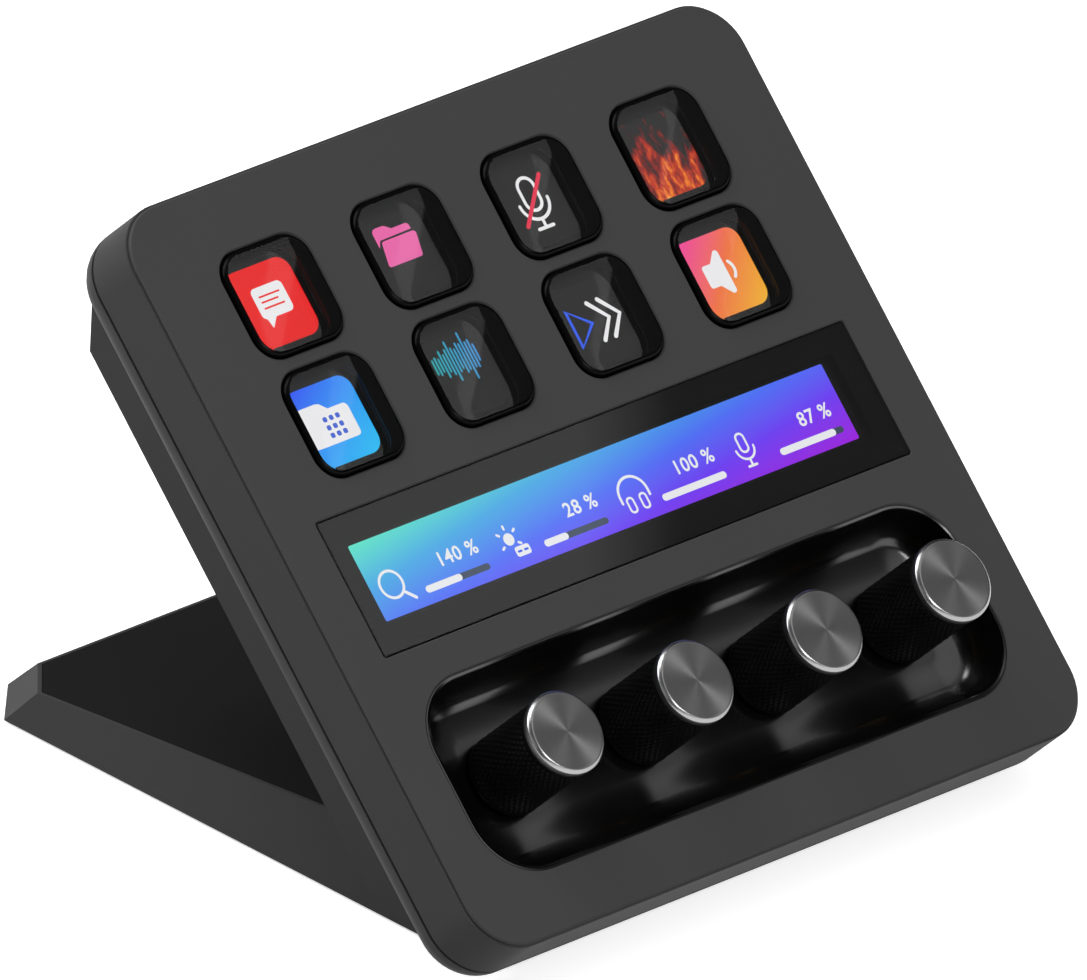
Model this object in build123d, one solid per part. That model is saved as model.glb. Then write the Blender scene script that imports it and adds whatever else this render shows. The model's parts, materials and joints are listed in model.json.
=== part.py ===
from build123d import *
import math
import os

# Macro keypad with display keys, a touch strip and push dials on a tilted body.
#
# Millimetres, +Z up, +X to the user's right. The user sits on the -Y side.
# The origin is on the desk, at the centre of the footprint.
#
# The body is drawn flat in the frame of its face: u to the right, v up the face,
# n out of the face, with n = 0 on the front of the front plate. on_face tilts it
# into place. The stand is drawn in a frame whose y is counted from the centre of
# the face and whose z is the height over the desk. on_desk puts that into place.

past = 1.0                  # how far a cutter runs past the face that it opens

# ---------------------------------------------------------------- body, overall
body_width = 140.0
body_height = 138.0
body_corner = 9.8           # corner radius of the body, seen square on
tilt = 45.0                 # lean of the face from flat on the desk
seam_depth = 11.2           # where the front housing meets the rear shell
back_depth = 18.2           # flat back of the rear shell
desk_gap = 2.65             # air between the body's lowest point and the desk
wall = 2.4                  # front housing
shell_wall = 2.2            # rear shell
seam_chamfer = 0.1
seam_flat = 0.35            # flat left on the side between seam and rear rounding
seam_groove_height = 0.5    # shadow gap along the seam
seam_groove_depth = 0.9

# ---------------------------------------------------------------- front plate
plate_thickness = 2.2
plate_flange = 0.65         # part of its thickness that stands over the housing
plate_step = 0.4            # ledge of the housing left showing round the plate
plate_nest = 1.4            # how far the nested part is inside the flange's edge
plate_chamfer = 0.25
nest_gap = 0.2

# ---------------------------------------------------------------- face layout
columns = 4
key_rows = 2
column_pitch = 29.7         # the keys and the dials share the same columns
key_window = 20.0
key_window_corner = 4.9
key_web = 2.2               # bar of the plate between the two rows of keys
keys_v = 35.8               # middle of the two rows
strip_v = -3.1
strip_height = 25.2
strip_window_corner = 0.6
bay_v = -40.3
bay_height = 36.0
bay_end = 16.05             # from the outer dial's axis to the end of the bay
bay_corner = 11.5

# ---------------------------------------------------------------- keys
key_gap = 0.3               # gap between a cap and its window
key_proud = 0.7
key_bevel = 0.9
key_travel = 1.0
key_flange = 1.5            # wings that hold the cap under the plate
key_flange_height = 0.8
stop_gap = 0.3              # cap to plate at rest, and cap to what is under it
lens_margin = 1.4           # the lens below the wings is this much smaller
lens_drop = 1.0
mat_thickness = 1.0
mat_window_gap = 0.4
key_display_thickness = 1.8
display_border = 1.5

# ---------------------------------------------------------------- touch strip
glass_sink = 0.1
glass_gap = 0.15
glass_thickness = 1.8
gasket_height = 2.0
gasket_width = 1.3
strip_display_thickness = 2.0
strip_display_inset = 0.65

# ---------------------------------------------------------------- knob bay
bay_depth = 7.0
bay_wall = 1.5
bay_inset = 1.4             # from the plate's window to the foot of the walls
bay_floor_round = 4.0
bay_lip = 0.7               # edge of the bay, which lines the plate's window up to the face
bay_lip_sink = 0.1
bay_lip_gap = 0.1
bay_lip_chamfer = 0.15
bay_flange = 2.0
bay_flange_thickness = 1.2

# ---------------------------------------------------------------- dials
dial_radius = 7.3
dial_floor_gap = 1.4        # lower end of the knob to the floor of the bay, at rest
dial_top = 11.8
dial_chamfer = 0.25
cap_overhang = 0.1          # the metal cap is this much wider than the knob
cap_thickness = 1.8
cap_chamfer = 0.55
cap_rim = 1.85              # knob's wall round the cap's spigot
cap_spigot_length = 1.4
cap_seat_gap = 0.05
skirt_gap = 0.8             # nut to the hollow under the knob
skirt_depth = 5.8
dial_travel = 0.6
shaft_radius = 3.0
shaft_top = 8.0
shaft_flat = 1.5            # depth of the flat that drives the knob
flat_length = 6.5
running_gap = 0.05          # radial, shaft in its bush
press_gap = 0.02            # radial, knob on its shaft

# ---------------------------------------------------------------- encoders
encoder_size = 11.0
encoder_height = 6.5
encoder_floor = 0.6
shoulder_radius = 5.0
shoulder_height = 1.5
bush_wall = 0.5             # measured from the shaft
bush_length = 3.4           # over the floor of the bay
bush_hole_gap = 0.15
nut_wall = 1.5              # from the bush to the nut's corners
nut_height = 1.5
collar_step = 0.4           # collar of the shaft, over its radius
collar_height = 0.6
plunger_step = 0.5          # plunger, over the collar's radius
plunger_height = 1.7
plunger_gap = 0.1           # shaft to plunger

# ---------------------------------------------------------------- inside
shelf_thickness = 1.8
shelf_width = 3.5
chassis_gap = 0.4
chassis_thickness = 1.6
chassis_rib = 1.8
boss_radius = 3.2
board_boss_radius = 2.5
board_thickness = 1.6
board_gap = 0.7             # board edge to the wall of the tub
board_corner = 1.0
tub_wall = 2.0
tub_depth = 31.0
tub_margin = 16.5           # upper side of the tub to the body's upper edge
tub_corner = 3.6
tub_round = 2.0
lip_height = 1.2            # rim of the rear shell inside the front housing
lip_wall = 1.5
board_screw_rise = 12.5     # upper screws of the encoder board over the dials' axes
main_board_bottom = -34.0
main_screw_inset = 5.0
main_screw_rise = 16.0
strip_seat_inset = 3.0      # chassis pad inside the edge of the strip display
processor = (14.0, 14.0, 1.4, 0.0, 13.0)        # width, height, thickness, u, v
memory_chip = (9.0, 12.0, 1.1, 16.0, 13.0)
power_coil = (8.0, 8.0, 2.2, 32.0, 11.0)
header_size = (20.0, 5.0)
header_v = -29.5
ribbon_thickness = 0.3
ribbon_foot = 4.0
key_ribbon = (16.0, 29.5)   # width and place up the face
strip_ribbon = (12.0, -3.5)
slot_gap = 1.2

# ---------------------------------------------------------------- fasteners
screw_radius = 1.25
screw_head_radius = 2.4
screw_head_height = 1.0
screw_head_sink = 0.1
screw_bite = 5.0            # length of a housing screw inside its boss
screw_edge = 1.3            # boss of a housing screw to the tub
screw_hole_gap = 0.2
pilot_gap = 0.02
board_screw_radius = 1.0
board_screw_head_radius = 1.9
board_screw_head_height = 1.3
board_screw_length = 5.0

# ---------------------------------------------------------------- socket
socket_v = 24.0
socket_size = (9.0, 3.3)
socket_wall = 0.33
socket_depth = 5.7
socket_base = 1.0
socket_sink = 0.3           # mouth of the socket under the tub's back
tongue_size = (6.7, 0.7)
tongue_sink = 0.4

# ---------------------------------------------------------------- stand
stand_wall = 2.2
stand_gap = 1.05            # tub to the inside of the stand
upright_depth = 37.0        # rear plane of the upright, behind the face
upright_margin = 5.0        # top of the upright to the body's upper edge
facet_depth = 29.5          # where the upright's vertical facet starts, behind the face
foot_run = 25.7             # rear end of the foot, behind that facet
foot_corner_x = 9.6         # the corner facet across, and along the side
foot_corner_y = 9.3
foot_rear_height = 6.3
foot_bevel = 6.4            # how far the rear facet leans in on that height
foot_rise = 0.0775          # slope of the top, towards the user
side_lean = 0.22            # slope of the side facets
corner_lean = 0.78          # slope of the corner facets
foot_wall = 2.4
shadow_gap = 0.5            # plastic to the desk
inlay_thickness = 1.0
inlay_margin = 0.7
inlay_gap = 0.1
base_inset = 3.4
base_gap = 0.2
base_thickness = 1.5
pad_thickness = 1.0
pad_inset = 0.6
window_width = 28.0
window_height = 16.0
window_corner = 4.0
magnet_radius = 2.8
magnet_thickness = 2.5
magnet_wall = 1.2           # plastic left round each magnet
magnet_inset = 12.0         # centre of a magnet to the side of the stand
strike_margin = 0.8         # strike disc, over the magnet's radius
strike_thickness = 1.2
upright_screw = (20.0, 9.7)                     # in from the side, and from the front
foot_screws = ((14.0, 69.8), (14.0, 23.8))      # in from the side, and from the rear
stand_boss_radius = 3.0
stand_boss_top = 9.0
stand_screw_length = 3.6    # in the plastic

# ---------------------------------------------------------------- worked out
back_round = back_depth - seam_depth - seam_flat
plate_width = body_width - 2 * plate_step
plate_height = body_height - 2 * plate_step
plate_corner = body_corner - plate_step
key_pitch = key_window + key_web
key_size = key_window - 2 * key_gap
key_corner = key_window_corner - key_gap
columns_u = [(i - (columns - 1) / 2) * column_pitch for i in range(columns)]
bay_width = (columns - 1) * column_pitch + 2 * bay_end
rows_v = [keys_v + ((key_rows - 1) / 2 - j) * key_pitch for j in range(key_rows)]
key_places = [(u, v) for v in rows_v for u in columns_u]
gaps_u = [(a + b) / 2 for a, b in zip(columns_u, columns_u[1:])]
between_u = [gaps_u[0], gaps_u[-1]]

wings_top = -plate_thickness - stop_gap
wings_bottom = wings_top - key_flange_height
lens_bottom = wings_bottom - lens_drop
mat_top = wings_bottom - key_travel - stop_gap
mat_bottom = mat_top - mat_thickness
key_display_bottom = mat_bottom - key_display_thickness
lens_size = key_size - 2 * lens_margin
keys_width = (columns - 1) * column_pitch + key_window + 2 * display_border
keys_height = (key_rows - 1) * key_pitch + key_window + 2 * display_border

glass_bottom = -glass_sink - glass_thickness
strip_display_top = glass_bottom - gasket_height
strip_display_bottom = strip_display_top - strip_display_thickness

chassis_top = key_display_bottom
chassis_bottom = chassis_top - chassis_thickness
shelf_bottom = -plate_thickness - shelf_thickness
bay_underside = -bay_depth - bay_wall
bay_mouth = bay_lip_gap + bay_lip

bush_radius = shaft_radius + bush_wall
bush_top = -bay_depth + bush_length
nut_radius = bush_radius + nut_wall
skirt_radius = nut_radius + skirt_gap
dial_bottom = -bay_depth + dial_floor_gap
skirt_top = dial_bottom + skirt_depth
cap_radius = dial_radius + cap_overhang
cap_spigot_radius = dial_radius - cap_rim
collar_radius = shaft_radius + collar_step
plunger_radius = collar_radius + plunger_step
room_radius = plunger_radius + stop_gap
encoder_top = bay_underside - shoulder_height
encoder_bottom = encoder_top - encoder_height
room_floor = encoder_bottom + encoder_floor
plunger_bottom = room_floor + stop_gap + dial_travel
plunger_top = plunger_bottom + plunger_height
shaft_bottom = plunger_top + plunger_gap
encoder_board_bottom = encoder_bottom - board_thickness

shell_floor = -back_depth + shell_wall
screw_seat = -back_depth + screw_head_sink + screw_head_height
tub_top = body_height / 2 - tub_margin
tub_half = columns_u[-1] + encoder_size / 2 + board_gap + tub_wall
tub_bottom_v = bay_v - encoder_size / 2 - board_gap - tub_wall
tub_height = tub_top - tub_bottom_v
tub_v = (tub_top + tub_bottom_v) / 2
tub_floor = -tub_depth + tub_wall
socket_mouth = -tub_depth + socket_sink
main_board_back = socket_mouth + socket_depth
main_board_front = main_board_back + board_thickness
board_half = tub_half - tub_wall - board_gap
main_board_top = tub_top - tub_wall - board_gap
upper_screw_v = tub_top + screw_edge + boss_radius
lower_screw_v = tub_bottom_v - screw_edge - boss_radius
stand_half = tub_half + stand_gap + stand_wall
magnet_seat = magnet_radius + magnet_wall
upper_magnet_v = tub_top + stand_gap + magnet_seat
lower_magnet_v = tub_bottom_v - stand_gap - magnet_seat
strike_radius = magnet_radius + strike_margin
magnet_u = stand_half - magnet_inset
base_top = pad_thickness + base_thickness
foot_rear_z = shadow_gap + foot_rear_height

sin_t = math.sin(math.radians(tilt))
cos_t = math.cos(math.radians(tilt))
lowest = (body_height / 2 - back_round) * sin_t + (back_depth - back_round) * cos_t + back_round
face_z = desk_gap + lowest
upright_top = body_height / 2 - upright_margin
upright_facet_y = upright_top * cos_t + facet_depth * sin_t
foot_reach = upright_facet_y + foot_run
foot_rear_y = foot_reach - foot_bevel
foot_side_y = foot_reach - foot_corner_y
stand_front_y = (lower_magnet_v - magnet_seat) * cos_t + back_depth * sin_t - stand_wall
front_reach = (plate_height / 2 - plate_chamfer) * cos_t
face_y = (front_reach - foot_reach) / 2

on_face = Location((0, face_y, face_z), (tilt, 0, 0))
on_desk = Location((0, face_y, 0))
nodes = {}


# ---------------------------------------------------------------- helpers
def slab(width, height, radius, top, bottom, u=0.0, v=0.0):
    """Round-cornered plate from one depth to another."""
    outline = RectangleRounded(width, height, radius)
    return Pos(u, v, bottom) * extrude(outline, amount=top - bottom)


def pill(width, height, top, bottom, u=0.0, v=0.0):
    """Plate with round ends from one depth to another."""
    return Pos(u, v, bottom) * extrude(SlotOverall(width, height), amount=top - bottom)


def block(width, height, top, bottom, u=0.0, v=0.0):
    """Square-cornered plate from one depth to another."""
    return Pos(u, v, (top + bottom) / 2) * Box(width, height, top - bottom)


def disc(radius, top, bottom, u=0.0, v=0.0):
    """Round plate, pin or hole from one depth to another."""
    return Pos(u, v, (top + bottom) / 2) * Cylinder(radius, top - bottom)


def top_edges(part):
    return part.faces().sort_by(Axis.Z)[-1].edges()


def bottom_edges(part):
    return part.faces().sort_by(Axis.Z)[0].edges()


def bowl(width, height, radius, top, bottom, inset):
    """Rounded slab whose walls lean in on their way down."""
    rim = Pos(0, 0, top) * RectangleRounded(width, height, radius)
    size = (width - 2 * inset, height - 2 * inset)
    floor = Pos(0, 0, bottom) * RectangleRounded(*size, radius - inset)
    return loft(Sketch() + [floor, rim])


def group(parts):
    """Identical pieces that share a node and stay separate solids."""
    return Compound([part.solid() for part in parts])


def add(name, part, place=on_face):
    nodes[name] = place * part


def face_to_desk(v, n):
    """Place on the face as (y, z) of the stand's frame."""
    return (v * cos_t - n * sin_t, face_z + v * sin_t + n * cos_t)


def height_of(n, y):
    """Height over the desk, at y, of the plane at depth n behind the face."""
    v = (y + n * sin_t) / cos_t
    return face_z + v * sin_t + n * cos_t


def reach_of(n, z):
    """y at which the plane at depth n behind the face is z over the desk."""
    v = (z - face_z - n * cos_t) / sin_t
    return v * cos_t - n * sin_t


# ---------------------------------------------------------------- front
def front_plate():
    flange = slab(plate_width, plate_height, plate_corner, 0, -plate_flange)
    nest = (plate_width - 2 * plate_nest, plate_height - 2 * plate_nest, plate_corner - plate_nest)
    plate = flange + slab(*nest, -plate_flange, -plate_thickness)
    through = (past, -plate_thickness - past)
    for u, v in key_places:
        plate -= slab(key_window, key_window, key_window_corner, *through, u, v)
    plate -= slab(bay_width, strip_height, strip_window_corner, *through, 0, strip_v)
    plate -= slab(*bay_outline(0), *through, 0, bay_v)
    return chamfer(top_edges(plate), plate_chamfer)


def front_housing():
    """Side ring, with a nest for the plate and a shelf that the chassis comes up to."""
    lip_top = -plate_flange - nest_gap
    ring = slab(body_width, body_height, body_corner, lip_top, -seam_depth)
    ring = chamfer(bottom_edges(ring), seam_chamfer)
    nest = 2 * (plate_step + plate_nest - nest_gap)
    nest_corner = plate_corner - plate_nest + nest_gap
    ring -= slab(body_width - nest, body_height - nest, nest_corner, 0, -plate_thickness)
    shelf = 2 * (wall + shelf_width)
    corner = body_corner - wall
    ring -= slab(body_width - shelf, body_height - shelf, corner, 0, -seam_depth)
    room = (body_width - 2 * wall, body_height - 2 * wall, corner)
    return ring - slab(*room, shelf_bottom, -seam_depth - past)


def chassis():
    """Inner frame: a plate that carries the displays, with a rim and two bosses."""
    inset = wall + chassis_gap
    outline = (body_width - 2 * inset, body_height - 2 * inset, body_corner - inset)
    frame = slab(*outline, shelf_bottom, chassis_bottom)
    inset = inset + chassis_rib
    inner = (body_width - 2 * inset, body_height - 2 * inset, body_corner - inset)
    frame -= slab(*inner, shelf_bottom, chassis_top)
    seat = (bay_width - 2 * strip_seat_inset, strip_height - 2 * strip_seat_inset)
    frame += block(*seat, strip_display_bottom, chassis_top, 0, strip_v)
    opening = bay_outline(bay_wall + chassis_gap)
    frame -= slab(*opening, chassis_top + past, chassis_bottom - past, 0, bay_v)
    for ribbon_width, v in (key_ribbon, strip_ribbon):
        slot = (ribbon_width + 2 * slot_gap, ribbon_thickness + 2 * slot_gap)
        frame -= block(*slot, strip_display_bottom + past, chassis_bottom - past, 0, v)
    for u in between_u:
        frame += disc(boss_radius, chassis_bottom, shell_floor, u, upper_screw_v)
        frame -= screw_bore(u, upper_screw_v)
    return frame


# ---------------------------------------------------------------- keys
def key_cap():
    """Clear lens with a bevelled front and two wings that stay under the plate."""
    cap = slab(key_size, key_size, key_corner, key_proud, wings_bottom)
    cap = chamfer(top_edges(cap), key_bevel)
    cap += slab(key_size + 2 * key_flange, key_size, key_corner, wings_top, wings_bottom)
    lens_corner = key_corner - lens_margin
    return cap + slab(lens_size, lens_size, lens_corner, wings_bottom, lens_bottom)


def key_mat():
    """Switch sheet with a window under every lens and rails up to the plate."""
    mat = slab(keys_width, keys_height, board_corner, mat_top, mat_bottom, 0, keys_v)
    window = lens_size + 2 * mat_window_gap
    corner = key_corner - lens_margin
    for u, v in key_places:
        mat -= slab(window, window, corner, mat_top + past, mat_bottom - past, u, v)
    rail = column_pitch - key_size - 2 * (key_flange + board_gap)
    for u in gaps_u:
        mat += block(rail, keys_height, -plate_thickness, mat_top, u, keys_v)
    return mat


def key_display():
    depths = (mat_bottom, key_display_bottom)
    return slab(keys_width, keys_height, board_corner, *depths, 0, keys_v)


# ---------------------------------------------------------------- touch strip
def touch_glass():
    size = (bay_width - 2 * glass_gap, strip_height - 2 * glass_gap)
    corner = strip_window_corner - glass_gap
    glass = slab(*size, corner, -glass_sink, glass_bottom, 0, strip_v)
    return chamfer(top_edges(glass), glass_gap)


def strip_outline(inset, top, bottom):
    """Slab of the strip display's outline, shrunk by inset."""
    inset = inset + strip_display_inset
    size = (bay_width - 2 * inset, strip_height - 2 * inset)
    return slab(*size, board_corner, top, bottom, 0, strip_v)


def strip_gasket():
    ring = strip_outline(0, glass_bottom, strip_display_top)
    return ring - strip_outline(gasket_width, glass_bottom, strip_display_top)


def strip_display():
    return strip_outline(0, strip_display_top, strip_display_bottom)


# ---------------------------------------------------------------- knob bay
def encoder_screw_places():
    upper = bay_v + board_screw_rise
    lower = tub_bottom_v + tub_wall + board_boss_radius + board_gap
    return [(u, v) for u in between_u for v in (upper, lower)]


def bay_outline(growth):
    """Size of the plate's window for the bay, grown on every side."""
    return (bay_width + 2 * growth, bay_height + 2 * growth, bay_corner + growth)


def knob_bay():
    """Scoop that hangs from the plate and lines its window, with holes for the bushes."""
    top = -plate_thickness
    lean = bay_inset - bay_mouth
    scoop = slab(*bay_outline(bay_flange), top, top - bay_flange_thickness)
    scoop += slab(*bay_outline(-bay_lip_gap), -bay_lip_sink, top)
    scoop += bowl(*bay_outline(bay_wall - bay_mouth), top, bay_underside, lean)
    hollow = bowl(*bay_outline(-bay_mouth), -bay_lip_sink, -bay_depth, lean)
    scoop -= fillet(bottom_edges(hollow), bay_floor_round)
    scoop = chamfer(top_edges(scoop), bay_lip_chamfer)
    scoop = Pos(0, bay_v, 0) * scoop
    for u in columns_u:
        scoop -= disc(bush_radius + bush_hole_gap, 0, bay_underside - past, u, bay_v)
    for u, v in encoder_screw_places():
        scoop += disc(board_boss_radius, bay_underside, encoder_bottom, u, v)
        scoop -= disc(board_screw_radius + pilot_gap, bay_underside, encoder_bottom - past, u, v)
    for u in between_u:
        scoop += disc(boss_radius, bay_underside, shell_floor, u, lower_screw_v)
        scoop -= screw_bore(u, lower_screw_v)
    return scoop


# ---------------------------------------------------------------- dials
def encoder():
    """Square housing with a shoulder, a bush and a stepped hollow, on the dial's axis."""
    body = block(encoder_size, encoder_size, encoder_top, encoder_bottom)
    body += disc(shoulder_radius, bay_underside, encoder_top)
    body += disc(bush_radius, bush_top, bay_underside)
    body -= disc(room_radius, encoder_top - encoder_floor, room_floor)
    return body - disc(shaft_radius + running_gap, bush_top + past, shaft_bottom)


def encoder_nut():
    """Hexagon nut on the floor of the bay."""
    nut = Pos(0, 0, -bay_depth) * extrude(RegularPolygon(nut_radius, 6), amount=nut_height)
    return nut - disc(bush_radius + pilot_gap, 0, -bay_depth - past)


def drive_flat(radius):
    """What is cut away beside the flat of a shaft or left standing in its bore."""
    side = radius + shaft_flat
    return Pos(0, side, shaft_top - flat_length / 2) * Box(2 * side, 2 * radius, flat_length)


def encoder_shaft():
    """Shaft with a collar at its lower end and a flat that drives the knob."""
    shaft = disc(shaft_radius, shaft_top, shaft_bottom)
    shaft += disc(collar_radius, shaft_bottom + collar_height, shaft_bottom)
    return shaft - drive_flat(shaft_radius)


def plunger():
    return disc(plunger_radius, plunger_top, plunger_bottom)


def knob():
    """Knob with a seat for its metal cap, a D bore and a hollow over the nut."""
    body = disc(dial_radius, dial_top, dial_bottom)
    body = chamfer(top_edges(body), dial_chamfer)
    body -= disc(skirt_radius, skirt_top, dial_bottom - past)
    seat_depth = cap_spigot_length + cap_seat_gap
    body -= disc(cap_spigot_radius + cap_seat_gap, dial_top + past, dial_top - seat_depth)
    bore = disc(shaft_radius + press_gap, shaft_top + stop_gap, skirt_top - past)
    bore -= Pos(0, press_gap, 0) * drive_flat(shaft_radius)
    return body - bore


def knob_cap():
    """Metal disc with a bright chamfer and a spigot that sits in the knob."""
    cap = disc(cap_radius, dial_top + cap_thickness, dial_top)
    cap = chamfer(top_edges(cap), cap_chamfer)
    return cap + disc(cap_spigot_radius, dial_top, dial_top - cap_spigot_length)


# ---------------------------------------------------------------- boards
def circuit_board(low, high, front, screws):
    """Board as wide as the tub allows, from low to high up the face."""
    back = front - board_thickness
    size = (2 * board_half, high - low)
    board = slab(*size, board_corner, front, back, 0, (high + low) / 2)
    for u, v in screws:
        board -= disc(board_screw_radius + screw_hole_gap, front + past, back - past, u, v)
    return board


def encoder_board():
    low = tub_bottom_v + tub_wall + board_gap
    high = bay_v + board_screw_rise + board_boss_radius
    return circuit_board(low, high, encoder_bottom, encoder_screw_places())


def main_screw_places():
    side = board_half - main_screw_inset
    rows = (main_board_bottom + main_screw_rise, main_board_top - main_screw_inset)
    return [(u, v) for u in (-side, side) for v in rows]


def main_board():
    return circuit_board(main_board_bottom, main_board_top, main_board_front, main_screw_places())


def on_main_board(width, height, thickness, u, v):
    """Chip or coil that stands on the front of the main board."""
    return block(width, height, main_board_front + thickness, main_board_front, u, v)


def pair(width, height, thickness, u, v):
    """The same part on either side of the main board's centre line."""
    return group(on_main_board(width, height, thickness, side * u, v) for side in (-1, 1))


def pin_header():
    return block(*header_size, encoder_board_bottom, main_board_front, 0, header_v)


def ribbon(width, v, top):
    """Flat cable from the back of a display straight down to the main board."""
    run = block(width, ribbon_thickness, top, main_board_front, 0, v)
    return run + on_main_board(width, ribbon_foot, ribbon_thickness, 0, v + ribbon_foot / 2)


def usb_socket():
    """Open metal shell with a tongue, on the back of the main board."""
    shell = pill(*socket_size, main_board_back, socket_mouth, 0, socket_v)
    inner = [size - 2 * socket_wall for size in socket_size]
    shell -= pill(*inner, main_board_back - socket_base, socket_mouth - past, 0, socket_v)
    return shell + block(*tongue_size, main_board_back, socket_mouth + tongue_sink, 0, socket_v)


# ---------------------------------------------------------------- rear shell
def seam_groove():
    """Shadow gap under the front housing, open to the outside."""
    depths = (-seam_depth + past, -seam_depth - seam_groove_height)
    inset = seam_groove_depth
    around = slab(body_width + 2 * past, body_height + 2 * past, body_corner + past, *depths)
    core = (body_width - 2 * inset, body_height - 2 * inset, body_corner - inset)
    return around - slab(*core, *depths)


def rear_shell():
    """Back half of the body: a shallow tray with a deeper tub for the boards."""
    shell = slab(body_width, body_height, body_corner, -seam_depth, -back_depth)
    shell = fillet(bottom_edges(shell), back_round) - seam_groove()
    tub = slab(2 * tub_half, tub_height, tub_corner, shell_floor, -tub_depth, 0, tub_v)
    shell += fillet(bottom_edges(tub), tub_round)
    inset = wall + nest_gap / 2
    lip = (body_width - 2 * inset, body_height - 2 * inset, body_corner - inset)
    shell += slab(*lip, -seam_depth + lip_height, -seam_depth - past)
    inset = inset + lip_wall
    tray = (body_width - 2 * inset, body_height - 2 * inset, body_corner - inset)
    tray = slab(*tray, 0, shell_floor)
    shell -= fillet(bottom_edges(tray), back_round - shell_wall)
    inner = (2 * (tub_half - tub_wall), tub_height - 2 * tub_wall, tub_corner - tub_wall)
    shell -= slab(*inner, 0, tub_floor, 0, tub_v)
    for u, v in main_screw_places():
        shell += disc(board_boss_radius, main_board_back, tub_floor, u, v)
        end = main_board_front - board_screw_length - stop_gap
        shell -= disc(board_screw_radius + pilot_gap, main_board_back + past, end, u, v)
    outside = -back_depth - past
    for u, v in housing_screw_places():
        shell -= disc(screw_radius + screw_hole_gap, shell_floor + past, outside, u, v)
        shell -= disc(screw_head_radius + screw_hole_gap, screw_seat, outside, u, v)
    for u, v in magnet_places():
        seat = -back_depth + strike_thickness + pilot_gap
        shell -= disc(strike_radius + pilot_gap, seat, outside, u, v)
    hole = [size + 2 * nest_gap for size in socket_size]
    return shell - pill(*hole, tub_floor + past, -tub_depth - past, 0, socket_v)


# ---------------------------------------------------------------- fasteners
def screw_bore(u, v):
    """Hole for a housing screw in the boss that it bites into."""
    end = shell_floor + screw_bite + stop_gap
    return disc(screw_radius + pilot_gap, end, shell_floor - past, u, v)


def housing_screw_places():
    return [(u, v) for u in between_u for v in (upper_screw_v, lower_screw_v)]


def magnet_places():
    return [(u, v) for u in (-magnet_u, magnet_u) for v in (upper_magnet_v, lower_magnet_v)]


def housing_screws():
    for u, v in housing_screw_places():
        shank = disc(screw_radius, shell_floor + screw_bite, screw_seat, u, v)
        yield shank + disc(screw_head_radius, screw_seat, -back_depth + screw_head_sink, u, v)


def board_screws():
    for u, v in encoder_screw_places():
        seat = encoder_board_bottom
        shank = disc(board_screw_radius, seat + board_screw_length, seat, u, v)
        yield shank + disc(board_screw_head_radius, seat, seat - board_screw_head_height, u, v)
    for u, v in main_screw_places():
        seat = main_board_front
        shank = disc(board_screw_radius, seat, seat - board_screw_length, u, v)
        yield shank + disc(board_screw_head_radius, seat + board_screw_head_height, seat, u, v)


def strike_discs():
    for u, v in magnet_places():
        yield disc(strike_radius, -back_depth + strike_thickness, -back_depth, u, v)


def stand_magnets():
    front = -back_depth - pilot_gap
    for u, v in magnet_places():
        yield disc(magnet_radius, front, front - magnet_thickness, u, v)


# ---------------------------------------------------------------- stand
def extrude_profile(points, half):
    """Side profile of (y, z) points, as wide as the stand."""
    outline = make_face(Plane.YZ * Polyline(*points, close=True))
    return extrude(outline, amount=half, dir=(1, 0, 0), both=True)


def plan(inset=0.0):
    """Outline of the whole stand on the desk."""
    corner_x = stand_half - foot_corner_x
    points = [(-stand_half, stand_front_y), (stand_half, stand_front_y)]
    points += [(stand_half, foot_side_y), (corner_x, foot_reach)]
    points += [(-corner_x, foot_reach), (-stand_half, foot_side_y)]
    outline = make_face(Polyline(*points, close=True))
    if inset:
        outline = offset(outline, amount=-inset, kind=Kind.INTERSECTION)
    return outline


def base_pocket():
    return extrude(plan(base_inset), amount=base_top)


def stand_bores(places):
    """Holes for the stand's screws in the bosses that they bite into."""
    depth = base_top + stand_screw_length
    return [Pos(x, y, depth / 2) * Cylinder(screw_radius + pilot_gap, depth) for x, y in places]


def upright_screw_places():
    inset_x, inset_y = upright_screw
    x = stand_half - inset_x
    return [(side * x, stand_front_y + inset_y) for side in (-1, 1)]


def foot_screw_places():
    insets = [(side, x, y) for side in (-1, 1) for x, y in foot_screws]
    return [(side * (stand_half - x), foot_reach - y) for side, x, y in insets]


def upright_profile(inset, front):
    """Side profile of the upright, shrunk by a wall, its front at depth front."""
    rear = -upright_depth + inset
    top = upright_top - inset
    facet_y = upright_facet_y - inset
    facet_top = (top * cos_t - facet_y) / sin_t
    facet_low = (facet_y + rear * sin_t) / cos_t
    low = base_top if inset else shadow_gap
    front_y = stand_front_y + inset
    points = [face_to_desk(top, front), face_to_desk(top, facet_top)]
    points += [face_to_desk(facet_low, rear), (reach_of(rear, low), low), (front_y, low)]
    points.append((front_y, height_of(front, front_y)))
    return points


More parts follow.
